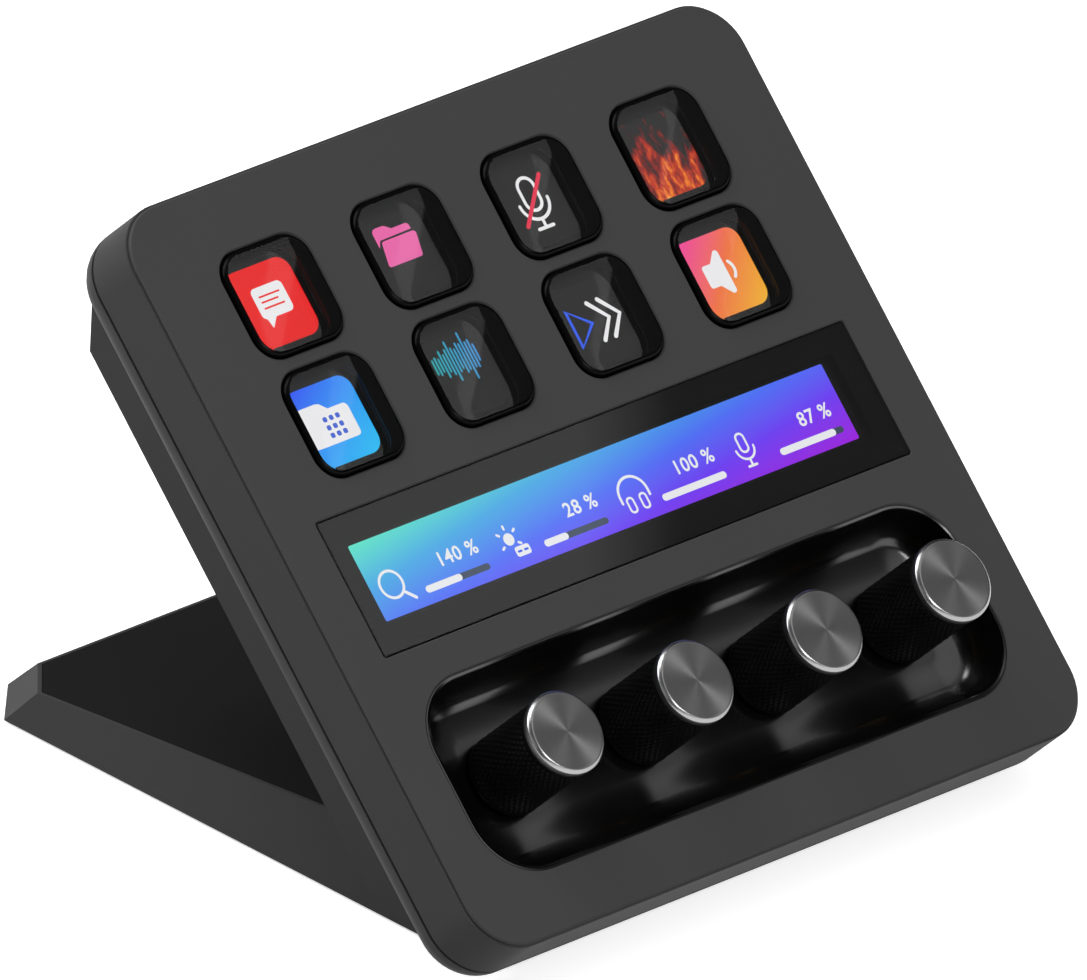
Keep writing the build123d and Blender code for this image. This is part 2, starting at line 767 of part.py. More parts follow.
def stand_upright():
    """Hollow block behind the body, open towards it, with bosses for its screws."""
    block_out = extrude_profile(upright_profile(0, -back_depth), stand_half)
    hollow = extrude_profile(upright_profile(foot_wall, -back_depth + past), stand_half - stand_wall)
    for x, y in upright_screw_places():
        reach = stand_half - abs(x)
        rib_x = math.copysign(stand_half - reach / 2, x)
        hollow -= Pos(x, y, stand_boss_top / 2) * Cylinder(stand_boss_radius, stand_boss_top)
        hollow -= Pos(rib_x, y, stand_boss_top / 2) * Box(reach, foot_wall, stand_boss_top)
    for u, v in magnet_places():
        reach = stand_half - abs(u) + magnet_seat
        seat_back = -back_depth - magnet_thickness - magnet_wall
        seat_u = math.copysign(stand_half - reach / 2, u)
        seat = block(reach, 2 * magnet_seat, -back_depth, seat_back, seat_u, v)
        hollow -= on_desk.inverse() * on_face * seat
    part = block_out - hollow - base_pocket() - stand_bores(upright_screw_places())
    part = on_face.inverse() * on_desk * part
    window = (window_width, window_height, window_corner)
    part -= slab(*window, -upright_depth + foot_wall + past, -upright_depth - past, 0, socket_v)
    for u, v in magnet_places():
        depth = -back_depth - magnet_thickness - 2 * pilot_gap
        part -= disc(magnet_radius + pilot_gap, 0, depth, u, v)
    return part


def foot_top(y, drop=0.0):
    """Height over the desk, at y, of the foot's sloping top, lowered by drop."""
    return foot_rear_z + (foot_rear_y - y) * foot_rise - drop


def foot_ridge(n, drop=0.0):
    """Where the foot's top, lowered by drop, meets the plane at depth n."""
    y = (foot_top(0, drop) - height_of(n, 0)) / (sin_t / cos_t + foot_rise)
    return (y, foot_top(y, drop))


def foot_solid():
    """Wedge with a sloping top and leaning facets round its sides and rear."""
    points = [(reach_of(-upright_depth, shadow_gap), shadow_gap), (foot_reach, shadow_gap)]
    points += [(foot_rear_y, foot_rear_z), foot_ridge(-upright_depth)]
    foot = extrude_profile(points, stand_half)
    length = math.hypot(foot_corner_x, foot_corner_y)
    for side in (-1, 1):
        lean = Plane((side * stand_half, 0, shadow_gap), z_dir=(side, 0, side_lean))
        foot = split(foot, bisect_by=lean, keep=Keep.BOTTOM)
        normal = (side * foot_corner_y / length, foot_corner_x / length, corner_lean)
        corner = Plane((side * stand_half, foot_side_y, shadow_gap), z_dir=normal)
        foot = split(foot, bisect_by=corner, keep=Keep.BOTTOM)
    return foot


def top_outline(foot, inset):
    """Sloping top of the foot, shrunk by inset."""
    up = Vector(0, foot_rise, 1).normalized()
    top = [f for f in foot.faces() if f.normal_at().dot(up) > 0.9999][0]
    return offset(top, amount=-inset, kind=Kind.INTERSECTION)


def stand_foot():
    """Foot, hollow from below, with its bosses up to the roof and a seat for its inlay."""
    foot = foot_solid()
    front = -upright_depth - foot_wall
    roof = inlay_thickness + foot_wall
    rear_y = foot_side_y - 2 * foot_wall
    points = [(reach_of(front, base_top), base_top), (rear_y, base_top)]
    points += [(rear_y, foot_top(rear_y, roof)), foot_ridge(front, roof)]
    hollow = extrude_profile(points, stand_half - 2 * foot_wall)
    for x, y in foot_screw_places():
        hollow -= Pos(x, y, 0) * Cylinder(stand_boss_radius, 2 * face_z)
    part = foot - hollow - base_pocket() - stand_bores(foot_screw_places())
    return part - extrude(top_outline(foot, inlay_margin), amount=-inlay_thickness)


def foot_inlay():
    return extrude(top_outline(foot_solid(), inlay_margin + inlay_gap), amount=-inlay_thickness)


def countersunk_screw(x, y):
    """Flush head that widens downwards, and the shank above it."""
    head_top = pad_thickness + screw_head_height
    top = base_top + stand_screw_length - stop_gap
    head = Cone(screw_head_radius, screw_radius, screw_head_height)
    head = Pos(x, y, head_top - screw_head_height / 2) * head
    return head + Pos(x, y, (top + head_top) / 2) * Cylinder(screw_radius, top - head_top)


def stand_screw_places():
    return upright_screw_places() + foot_screw_places()


def stand_screws():
    return [countersunk_screw(x, y) for x, y in stand_screw_places()]


def base_plate():
    """Steel plate that weighs the stand down, with countersunk holes."""
    plate = Pos(0, 0, pad_thickness) * extrude(plan(base_inset + base_gap), amount=base_thickness)
    for x, y in stand_screw_places():
        plate -= countersunk_screw(x, y)
        plate -= Pos(x, y, 0) * Cylinder(screw_radius + screw_hole_gap, 2 * base_top + past)
    return plate


def base_pad():
    return extrude(plan(base_inset + base_gap + pad_inset), amount=pad_thickness)


# ---------------------------------------------------------------- assembly
def build():
    add("front_plate", front_plate())
    add("front_housing", front_housing())
    add("rear_shell", rear_shell())
    add("chassis", chassis())
    add("knob_bay", knob_bay())
    add("touch_glass", touch_glass())
    add("strip_gasket", strip_gasket())
    add("strip_display", strip_display())
    add("key_mat", key_mat())
    add("key_display", key_display())
    cap = key_cap()
    for i, (u, v) in enumerate(key_places, 1):
        add(f"key_cap_{i}", Pos(u, v, 0) * cap)
    pieces = {
        "knob": knob(),
        "knob_cap": knob_cap(),
        "encoder_shaft": encoder_shaft(),
        "encoder_plunger": plunger(),
        "encoder": encoder(),
    }
    for i, u in enumerate(columns_u, 1):
        for name, piece in pieces.items():
            add(f"{name}_{i}", Pos(u, bay_v, 0) * piece)
    add("encoder_nuts", group(Pos(u, bay_v, 0) * encoder_nut() for u in columns_u))
    add("encoder_board", encoder_board())
    add("main_board", main_board())
    add("processor", on_main_board(*processor))
    add("memory_chips", pair(*memory_chip))
    add("power_coils", pair(*power_coil))
    add("pin_header", pin_header())
    add("key_ribbon", ribbon(*key_ribbon, key_display_bottom))
    add("strip_ribbon", ribbon(*strip_ribbon, strip_display_bottom))
    add("usb_socket", usb_socket())
    add("board_screws", group(board_screws()))
    add("housing_screws", group(housing_screws()))
    add("strike_discs", group(strike_discs()))
    add("stand_magnets", group(stand_magnets()))
    add("stand_upright", stand_upright())
    add("stand_foot", stand_foot(), on_desk)
    add("foot_inlay", foot_inlay(), on_desk)
    add("base_plate", base_plate(), on_desk)
    add("base_pad", base_pad(), on_desk)
    add("stand_screws", group(stand_screws()), on_desk)


build()
os.makedirs("parts", exist_ok=True)
for node_name, node in nodes.items():
    export_step(node, f"parts/{node_name}.step")
boxes = [node.bounding_box() for node in nodes.values()]
low = [min(axis) for axis in zip(*(tuple(box.min) for box in boxes))]
high = [max(axis) for axis in zip(*(tuple(box.max) for box in boxes))]
print(f"{len(nodes)} nodes, from {low} to {high}")
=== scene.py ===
# %% [markdown]
# # A macro keypad with display keys, a touch strip and push dials
#
# The keypad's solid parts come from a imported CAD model, which is the fixed frame of
# this scene. Blender adds what the CAD model leaves plain: clear key lenses with lit
# pictures under them, knurled dials, spun metal caps, and a finish for every part.
# Each cell makes one thing and prints what it made.

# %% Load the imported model
import json
import math

import bpy
from mathutils import Matrix, Vector


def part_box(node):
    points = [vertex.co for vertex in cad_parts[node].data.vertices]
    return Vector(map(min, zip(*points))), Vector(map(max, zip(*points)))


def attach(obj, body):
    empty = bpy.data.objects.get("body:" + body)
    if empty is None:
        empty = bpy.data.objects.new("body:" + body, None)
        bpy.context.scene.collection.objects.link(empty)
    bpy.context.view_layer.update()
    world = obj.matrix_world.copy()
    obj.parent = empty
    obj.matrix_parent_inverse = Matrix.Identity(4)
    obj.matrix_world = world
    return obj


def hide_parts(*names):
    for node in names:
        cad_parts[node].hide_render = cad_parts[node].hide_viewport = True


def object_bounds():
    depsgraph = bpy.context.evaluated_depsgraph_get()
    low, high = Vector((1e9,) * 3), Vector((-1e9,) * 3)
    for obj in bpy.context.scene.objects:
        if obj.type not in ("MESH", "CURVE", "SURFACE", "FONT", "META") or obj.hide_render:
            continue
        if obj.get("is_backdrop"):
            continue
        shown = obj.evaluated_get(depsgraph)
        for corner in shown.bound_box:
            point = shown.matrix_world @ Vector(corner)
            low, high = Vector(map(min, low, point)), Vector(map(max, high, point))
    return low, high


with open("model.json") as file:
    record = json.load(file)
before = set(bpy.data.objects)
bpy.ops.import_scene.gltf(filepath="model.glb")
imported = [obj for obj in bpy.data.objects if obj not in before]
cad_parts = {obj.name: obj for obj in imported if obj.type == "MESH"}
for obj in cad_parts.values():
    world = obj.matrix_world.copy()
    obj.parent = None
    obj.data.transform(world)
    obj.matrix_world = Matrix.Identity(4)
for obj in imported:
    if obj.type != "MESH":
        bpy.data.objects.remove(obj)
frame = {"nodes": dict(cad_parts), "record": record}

cad_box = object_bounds()
nodes = frame["nodes"]

# %% [markdown]
# ## The frame of the face
#
# The face leans back by 45 degrees, so keys and dials are awkward to draw in the
# axes of the room. Every piece on it is drawn flat instead, in millimetres: u runs
# to the right, v up the face and n out of it. One matrix then lays them all on the
# body. The strip's display is a plain slab, so the centre of its box is a known point.

# %% The frame of the face
MM = 0.001
TILT = math.radians(45)
ACROSS = Vector((1, 0, 0))
UP_FACE = Vector((0, math.cos(TILT), math.sin(TILT)))
OUT = Vector((0, -math.sin(TILT), math.cos(TILT)))
STRIP_V, DISPLAY_MIDDLE = -3.1, -4.9

display_low, display_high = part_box("strip_display")
display_centre = (display_low + display_high) / 2
face_origin = display_centre - (UP_FACE * STRIP_V + OUT * DISPLAY_MIDDLE) * MM
FACE = Matrix((ACROSS, UP_FACE, OUT)).transposed().to_4x4()
FACE.translation = face_origin


def on_face(u, v, n=0.0):
    """The place of a piece whose own centre is at (u, v, n) on the face."""
    return FACE @ Matrix.Translation(Vector((u, v, n)) * MM)


def new_object(name, data):
    """Puts a mesh, a lamp or a camera in the scene."""
    made = bpy.data.objects.new(name, data)
    bpy.context.scene.collection.objects.link(made)
    return made


print("centre of the face:", [round(c / MM, 2) for c in face_origin], "mm")

# %% [markdown]
# ## Wires that can be added and multiplied
#
# A shader is a graph of small nodes, and a formula takes many of them. The class
# Wire wraps an output socket and gives it Python's operators, so that a formula
# reads as one. Graph holds a material's nodes, and its method add makes any node:
# the type first, then its settings, then the values or wires of its sockets.


# %% Shader graph
class Wire:
    """An output socket that takes part in arithmetic."""

    def __init__(self, graph, socket):
        self.graph = graph
        self.socket = socket

    def math(self, operation, first, second=0.0):
        inputs = {"Value": first, "Value_001": second}
        return self.graph.add("ShaderNodeMath", {"operation": operation}, inputs)["Value"]

    def __add__(self, other):
        return self.math("ADD", self, other)

    def __sub__(self, other):
        return self.math("SUBTRACT", self, other)

    def __rsub__(self, other):
        return self.math("SUBTRACT", other, self)

    def __mul__(self, other):
        return self.math("MULTIPLY", self, other)

    def __truediv__(self, other):
        return self.math("DIVIDE", self, other)

    def __pow__(self, other):
        return self.math("POWER", self, other)

    def __lt__(self, other):
        return self.math("LESS_THAN", self, other)

    def __gt__(self, other):
        return self.math("GREATER_THAN", self, other)

    def __abs__(self):
        return self.math("ABSOLUTE", self)

    __radd__ = __add__
    __rmul__ = __mul__

    def above(self, level):
        """How far this is above a level, and 0 below it."""
        return self.math("MAXIMUM", self - level)

    def repeat(self, pitch):
        """How far this is from the middle of its cell, cells being pitch wide."""
        return self.math("FRACT", self / pitch) * pitch - pitch / 2


class Graph:
    """The nodes of one material, or of the world."""

    def __init__(self, name, library=bpy.data.materials):
        self.owner = library.new(name)
        self.owner.use_nodes = True
        self.tree = self.owner.node_tree
        self.tree.nodes.clear()

    def add(self, kind, settings=None, inputs=None):
        """A node of this kind, with its settings, and then what its sockets take."""
        node = self.tree.nodes.new(kind)
        for name, value in (settings or {}).items():
            if name == "stops":
                self.set_stops(node.color_ramp, value)
            else:
                setattr(node, name, value)
        for name, value in (inputs or {}).items():
            socket = self.socket(node, name)
            if isinstance(value, Wire):
                self.tree.links.new(value.socket, socket)
            else:
                socket.default_value = value
        return {s.identifier: Wire(self, s) for s in node.outputs}

    @staticmethod
    def socket(node, name):
        exact = [s for s in node.inputs if s.identifier == name]
        return exact[0] if exact else node.inputs[name]

    @staticmethod
    def set_stops(ramp, stops):
        while len(ramp.elements) < len(stops):
            ramp.elements.new(1.0)
        for element, (position, colour) in zip(ramp.elements, stops):
            element.position = position
            element.color = colour

    def mix(self, factor, first, second):
        """One colour where factor is 0 and another where it is 1."""
        inputs = {"Factor_Float": factor, "A_Color": first, "B_Color": second}
        return self.add("ShaderNodeMix", {"data_type": "RGBA"}, inputs)["Result_Color"]

    def ramp(self, factor, stops):
        return self.add("ShaderNodeValToRGB", {"stops": stops}, {"Fac": factor})["Color"]

    def place(self):
        """Where a point is, in millimetres, in its object's own axes."""
        position = self.add("ShaderNodeTexCoord")["Object"]
        inputs = {"Vector": position, "Scale": 1 / MM}
        return self.add("ShaderNodeVectorMath", {"operation": "SCALE"}, inputs)["Vector"]

    def face_place(self):
        """Where a point of a CAD node is, in millimetres, in the frame of the face."""
        shift = {"Vector": self.place(), "Vector_001": -face_origin / MM}
        moved = self.add("ShaderNodeVectorMath", {"operation": "ADD"}, shift)["Vector"]
        turn = {"Vector": moved, "Rotation": (-TILT, 0, 0)}
        return self.add("ShaderNodeMapping", {}, turn)["Vector"]

    def dot(self, first, second):
        inputs = {"Vector": first, "Vector_001": second}
        return self.add("ShaderNodeVectorMath", {"operation": "DOT_PRODUCT"}, inputs)["Value"]

    def split(self, vector):
        parts = self.add("ShaderNodeSeparateXYZ", {}, {"Vector": vector})
        return parts["X"], parts["Y"], parts["Z"]

    def noise(self, vector, size, detail=2.0, roughness=0.5):
        """Cloudy noise from 0 to 1, its blobs about size millimetres across."""
        inputs = {"Vector": vector, "Scale": 1 / size, "Detail": detail, "Roughness": roughness}
        return self.add("ShaderNodeTexNoise", {}, inputs)["Fac"]

    def grain(self, vector, size):
        """Small cells, each size millimetres across, 0 at their middles."""
        inputs = {"Vector": vector, "Scale": 1 / size}
        return self.add("ShaderNodeTexVoronoi", {}, inputs)["Distance"]

    def bump(self, height, depth, strength=1.0):
        """A normal that tilts as if height, times depth millimetres, were real."""
        inputs = {"Height": height, "Distance": depth * MM, "Strength": strength}
        return self.add("ShaderNodeBump", {}, inputs)["Normal"]

    def shader(self, **inputs):
        """A surface shader: the names are its sockets', with _ for a space."""
        named = {name.replace("_", " "): value for name, value in inputs.items()}
        return self.add("ShaderNodeBsdfPrincipled", {}, named)["BSDF"]

    def finish(self, shader):
        self.add("ShaderNodeOutputMaterial", {}, {"Surface": shader})
        return self.owner

    def surface(self, **inputs):
        return self.finish(self.shader(**inputs))


def paint(red, green, blue):
    """A colour given as a screen shows it, from 0 to 255, as the light it stands for."""
    def light(value):
        value = value / 255
        return value / 12.92 if value <= 0.04045 else ((value + 0.055) / 1.055) ** 2.4
    return (light(red), light(green), light(blue), 1.0)


def grey(value):
    return paint(value, value, value)


print("shader graph ready")

# %% [markdown]
# ## Matt body plastic
#
# The body and the stand are moulded in one charcoal plastic, with a fine spark
# texture that kills the gloss. A texture like that is too small to model, so it is
# a bump: small cells under a finer noise. The colour and the roughness drift a
# little over the part, as they do where the melt cooled at different speeds.


# %% Body plastic
def body_plastic():
    graph = Graph("body_plastic")
    place = graph.place()
    drift = graph.noise(place, 45, detail=3)
    fine = graph.noise(place, 0.16, detail=3, roughness=0.65)
    cells = graph.grain(place, 0.28)
    colour = graph.mix(drift, grey(58), grey(63))
    return graph.surface(
        Base_Color=graph.mix(fine * 0.3, colour, grey(70)),
        Roughness=0.52 + 0.08 * drift + 0.06 * fine,
        Specular_IOR_Level=0.12,
        Normal=graph.bump(fine + cells, 0.02, 0.5),
    )


finishes = {"body_plastic": body_plastic()}
print("finishes:", list(finishes))

# %% [markdown]
# ## Gloss bay and soft inlay
#
# The bay round the dials is gloss black. A mirror would look too hard: the floor of
# such a moulding sinks a little in the middle as it cools, and it has a faint
# ripple, so its reflections fade towards the walls instead of ending at a line. The
# bump follows that dish, which is flat in the middle and rises by just under a
# millimetre to where the walls begin. The inlay on the foot is the opposite, a soft
# sheet with a felted surface and hardly any reflection.

# %% Bay plastic and inlay
BAY_V = -40.3
DISH_WIDTH, DISH_HEIGHT, DISH_EDGE, DISH_RISE = 98.2, 13.0, 1.5, 0.04
RIPPLE_SIZE, RIPPLE_RISE = 14, 0.04


def bay_plastic():
    graph = Graph("bay_plastic")
    place = graph.face_place()
    u, v, _ = graph.split(place)
    past_u = abs(u).above(DISH_WIDTH / 2)
    past_v = abs(v - BAY_V).above(DISH_HEIGHT / 2)
    edge = ((past_u ** 2 + past_v ** 2) ** 0.5).above(DISH_EDGE)
    dish = DISH_RISE * edge ** 2
    ripple = RIPPLE_RISE * graph.noise(place, RIPPLE_SIZE, detail=1)
    wear = graph.noise(place, 3.5, detail=4, roughness=0.6)
    return graph.surface(
        Base_Color=graph.mix(wear, grey(3), grey(6)),
        Roughness=0.18 + 0.05 * wear,
        Specular_IOR_Level=0.8,
        Normal=graph.bump(dish + ripple, 1.0),
    )


def inlay_rubber():
    graph = Graph("inlay_rubber")
    place = graph.place()
    fibres = graph.noise(place, 0.35, detail=4, roughness=0.7)
    drift = graph.noise(place, 30, detail=2)
    return graph.surface(
        Base_Color=graph.mix(fibres, grey(15), grey(24)),
        Roughness=0.8 + 0.1 * drift,
        Specular_IOR_Level=0.15,
        Normal=graph.bump(fibres, 0.05, 0.6),
    )


finishes["bay_plastic"] = bay_plastic()
finishes["inlay_rubber"] = inlay_rubber()
print("finishes:", list(finishes))

# %% [markdown]
# ## Clear parts
#
# The key lenses are clear plastic, and the strip is covered by glass. Both bend
# light, which makes the pictures under them look closer than they are. A refracting
# surface does that by itself, so the pictures can lie where the real displays are. A
# lens has two faces, and each mirrors the room over the picture. Its index is set
# lower than a real plastic's 1.5, so that both together mirror about as much as one
# such face would. Between the strip's glass and its display lies a clear bonding gel,
# which the face towards the display stands for. A faint haze lies on all of them,
# and only the roughness shows it.


# %% Clear lens and glass
def clear_finish(name, colour, index, smooth, haze_depth, haze_size, detail):
    """Lets light through and bends it; a haze adds to its smooth roughness."""
    graph = Graph(name)
    haze = graph.noise(graph.place(), haze_size, detail)
    return graph.surface(
        Base_Color=colour,
        Roughness=smooth + haze_depth * haze,
        Transmission_Weight=1.0,
        IOR=index,
    )


# Name, colour, index, smooth, haze depth, haze size, detail.
clear_parts = [
    ("clear_plastic", paint(250, 250, 250), 1.36, 0.004, 0.012, 2.5, 3),
    ("strip_glass", paint(246, 248, 250), 1.5, 0.004, 0.012, 9, 4),
    ("bonding_gel", paint(250, 252, 252), 1.05, 0.002, 0.004, 9, 2),
]
for row in clear_parts:
    finishes[row[0]] = clear_finish(*row)
print("finishes:", list(finishes))

# %% [markdown]
# ## Dials: knurled plastic and spun metal
#
# The side of a dial is black plastic. Its diamond knurl is real geometry, made
# further down, so the plastic itself needs only a faint mould texture. Its cap is
# turned aluminium. A lathe leaves rings, and rings spread a highlight into a fan of
# light sectors. The anisotropic term of the shader does that when the object's own
# Z axis is the axis of the lathe. The chamfer is cut last, with a diamond, so it is
# smoother than the face; its lighter metal colour is a painted highlight.


# %% Dial finishes
def knob_plastic():
    graph = Graph("knob_plastic")
    place = graph.place()
    fine = graph.noise(place, 0.2, detail=2)
    return graph.surface(
        Base_Color=graph.mix(fine, grey(2), grey(5)),
        Roughness=0.38 + 0.12 * fine,
        Specular_IOR_Level=0.08,
        Normal=graph.bump(fine, 0.01, 0.4),
    )


def cap_metal(name, dark, light, roughness, anisotropic):
    graph = Graph(name)
    place = graph.place()
    x, y, z = graph.split(place)
    radius = (x * x + y * y) ** 0.5
    across = graph.add("ShaderNodeCombineXYZ", {}, {"X": radius, "Z": z})["Vector"]
    rings = graph.noise(across, 0.14, detail=3, roughness=0.7)
    blotch = graph.noise(place, 5, detail=2)
    return graph.surface(
        Base_Color=graph.mix(rings * 0.6 + blotch * 0.3, dark, light),
        Metallic=1.0,
        Roughness=roughness + 0.08 * rings,
        Anisotropic=anisotropic,
        Normal=graph.bump(rings, 0.008, 0.35),
    )


finishes["knob_plastic"] = knob_plastic()
finishes["cap_metal"] = cap_metal("cap_metal", grey(94), grey(126), 0.46, 0.85)
# The chamfer's lighter colours are a painted highlight; its lower roughness is the real smoothness
# of a diamond cut.
chamfer_metal_painted_bright = cap_metal("cap_chamfer_painted_bright", grey(140), grey(175), 0.2, 0.4)
print("finishes:", list(finishes))

# %% [markdown]
# ## Metals of the inside
#
# Screws, shafts and the base plate are zinc-plated steel, the inner frame is
# pressed aluminium sheet, the nuts are turned brass and the magnets are plated with
# nickel. They differ in colour and in the direction of their scratches, so one
# function makes them all: the noise is stretched along one axis to draw the lines.


# %% Metals
def metal(name, dark, light, roughness, stretch, size, depth):
    """Metal whose fine lines are stretch times longer along x, y and z."""
    graph = Graph(name)
    place = graph.place()
    shrink = {"Vector": place, "Vector_001": [1 / s for s in stretch]}
    lines_at = graph.add("ShaderNodeVectorMath", {"operation": "MULTIPLY"}, shrink)["Vector"]
    lines = graph.noise(lines_at, size, detail=4, roughness=0.7)
    tarnish = graph.noise(place, 6, detail=3)
    return graph.surface(
        Base_Color=graph.mix(0.5 * lines + 0.5 * tarnish, dark, light),
        Metallic=1.0,
        Roughness=roughness + 0.15 * lines * tarnish,
        Normal=graph.bump(lines, depth, 0.5),
    )


# Name, two colours, roughness, stretch, line size, line depth.
metals = [
    ("steel", grey(150), grey(190), 0.28, (1, 1, 6), 0.3, 0.01),
    ("frame_metal", grey(165), grey(200), 0.34, (14, 1, 1), 0.25, 0.015),
    ("nut_brass", paint(170, 135, 70), paint(215, 180, 105), 0.22, (1, 1, 5), 0.2, 0.01),
    ("magnet_plating", grey(185), paint(216, 214, 206), 0.08, (1, 1, 1), 1.5, 0.005),
]
for row in metals:
    finishes[row[0]] = metal(*row)
print("finishes:", list(finishes))

# %% [markdown]
# ## Circuit boards
#
# A board is glass fibre under a dark solder mask. Copper runs show through it as
# slightly lighter lines, and the holes in a regular grid have bright rings. Both
# come from plain formulas on the place in the frame of the face: the distance to
# the nearest line of a grid, and the distance to its nearest point.

# %% Circuit board
TRACK_PITCH, TRACK_HALF = 1.3, 0.2
CROSS_PITCH, CROSS_HALF = 1.7, 0.16
HOLE_PITCH, HOLE_RADIUS, RING_RADIUS = 5.08, 0.4, 0.75


def circuit_board():
    graph = Graph("circuit_board")
    place = graph.face_place()
    u, v, _ = graph.split(place)
    bend = graph.noise(place, 9, detail=0) * 3
    along = abs((u + bend).repeat(TRACK_PITCH)) < TRACK_HALF
    across = abs((v + bend).repeat(CROSS_PITCH)) < CROSS_HALF
    region = graph.noise(place, 16, detail=0) > 0.52
    tracks = along * region + across * (1 - region)
    to_hole = (u.repeat(HOLE_PITCH) ** 2 + v.repeat(HOLE_PITCH) ** 2) ** 0.5
    ring = (to_hole < RING_RADIUS) * (to_hole > HOLE_RADIUS)
    mask = graph.mix(tracks, paint(8, 30, 20), paint(16, 52, 34))
    return graph.surface(
        Base_Color=graph.mix(ring, mask, paint(200, 165, 95)),
        Metallic=ring,
        Roughness=0.32 + 0.12 * graph.noise(place, 0.5),
        Normal=graph.bump(tracks + ring, 0.03, 0.5),
    )


finishes["circuit_board"] = circuit_board()
print("finishes:", list(finishes))

# %% [markdown]
# ## Small plastics, rubbers and films of the inside
#
# The rest of the inside is moulded or rolled: chip packages, encoder bodies,
# ferrite coils, the switch mat, the foam gasket, the base pad and the flat cables.
# They share one recipe, a base colour that drifts and a grain whose size and depth
# set it apart. Only the cables get more, the copper lines that run along them.

# %% Plastics, rubbers and films
COPPER_PITCH, COPPER_HALF = 0.5, 0.15


def moulded(name, dark, light, roughness, grain_size, grain_depth):
    """A dull part between two greys, with a grain in millimetres."""
    graph = Graph(name)
    place = graph.place()
    drift = graph.noise(place, 8, detail=3)
    fine = graph.noise(place, grain_size, detail=3, roughness=0.6)
    cells = graph.grain(place, grain_size * 2)
    return graph.surface(
        Base_Color=graph.mix(0.6 * drift + 0.4 * fine, grey(dark), grey(light)),
        Roughness=roughness + 0.12 * fine,
        Normal=graph.bump(fine + cells, grain_depth, 0.6),
    )


def ribbon_film():
    graph = Graph("ribbon_film")
    place = graph.face_place()
    u, _, _ = graph.split(place)
    copper = abs(u.repeat(COPPER_PITCH)) < COPPER_HALF
    return graph.surface(
        Base_Color=graph.mix(copper, paint(150, 92, 30), paint(205, 150, 82)),
        Metallic=copper * 0.7,
        Roughness=0.25 + 0.1 * graph.noise(place, 1.5),
        Normal=graph.bump(copper, 0.02, 0.5),
    )


# Name, two greys, roughness, grain size, grain depth.
moulded_parts = [
    ("gasket_foam", 10, 20, 0.85, 0.25, 0.08),
    ("switch_rubber", 26, 36, 0.6, 0.3, 0.02),
    ("encoder_plastic", 24, 34, 0.4, 0.2, 0.01),
    ("chip", 22, 32, 0.45, 0.12, 0.012),
    ("coil", 62, 82, 0.5, 0.3, 0.03),
    ("pad_rubber", 20, 32, 0.75, 0.5, 0.12),
]
for row in moulded_parts:
    finishes[row[0]] = moulded(*row)
finishes["ribbon_film"] = ribbon_film()
print("finishes:", list(finishes))

# %% [markdown]
# ## Panels of the two displays
#
# A display that is switched off is a black sheet with a faint blue-green sheen and,
# close up, the grid of its picture elements. The lit pictures are pieces of their
# own that lie on it, so the panel itself stays dark.

# %% Display panel
ELEMENT_PITCH, ELEMENT_HALF = 0.2, 0.08


def panel():
    graph = Graph("panel")
    place = graph.face_place()
    u, v, _ = graph.split(place)
    in_column = abs(u.repeat(ELEMENT_PITCH)) < ELEMENT_HALF
    in_row = abs(v.repeat(ELEMENT_PITCH)) < ELEMENT_HALF
    elements = in_column * in_row
    return graph.surface(
        Base_Color=graph.mix(elements, grey(3), paint(6, 7, 9)),
        Roughness=0.22 + 0.06 * graph.noise(place, 4),
        Specular_IOR_Level=0.1,
        Normal=graph.bump(elements, 0.005, 0.3),
    )


finishes["panel"] = panel()
slots_used = sorted({row["material_slot"] for row in frame["record"]["subparts"]})
print("slots without a finish:", [s for s in slots_used if s not in finishes])

# %% [markdown]
# ## Finishes onto the CAD nodes
#
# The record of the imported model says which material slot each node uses. The
# finishes carry the same names, so dressing the nodes is one loop.

# %% Dress the CAD nodes
for row in frame["record"]["subparts"]:
    for slot in nodes[row["node"]].material_slots:
        slot.material = finishes[row["material_slot"]]

# %% [markdown]
# ## Outlines and lofts
#
# Lenses, caps and dials are stacks of closed outlines, each at its own height, with
# a skin between neighbours. All outlines of a stack have the same number of points,
# so the skin is a strip of quads and the shape can go from one outline to another.
# Form gathers points in millimetres and turns them into a piece. Its quads are shaded
# smooth where they meet at less than 30 degrees. The flat ends, which have more than
# four corners, are shaded flat, or a glossy end would mirror the room in facets.

# %% Outlines and lofts
CORNER_POINTS, SHARP_FROM = 8, math.radians(30)


def arc(radius, start, end, count, centre=(0, 0)):
    """Points on an arc, angles in degrees, both ends included."""
    angles = [math.radians(start + (end - start) * i / (count - 1)) for i in range(count)]
    return [(centre[0] + radius * math.cos(a), centre[1] + radius * math.sin(a)) for a in angles]


def circle(radius, count, centre=(0, 0)):
    return arc(radius, 0, 360 * (count - 1) / count, count, centre)


def rounded(width, height, radius, centre=(0, 0)):
    """A round-cornered rectangle, counter-clockwise from its right side."""
    x, y = width / 2 - radius, height / 2 - radius
    corners = [(x, y, 0), (-x, y, 90), (-x, -y, 180), (x, -y, 270)]
    points = []
    for cx, cy, start in corners:
        corner = (centre[0] + cx, centre[1] + cy)
        points += arc(radius, start, start + 90, CORNER_POINTS, corner)
    return points


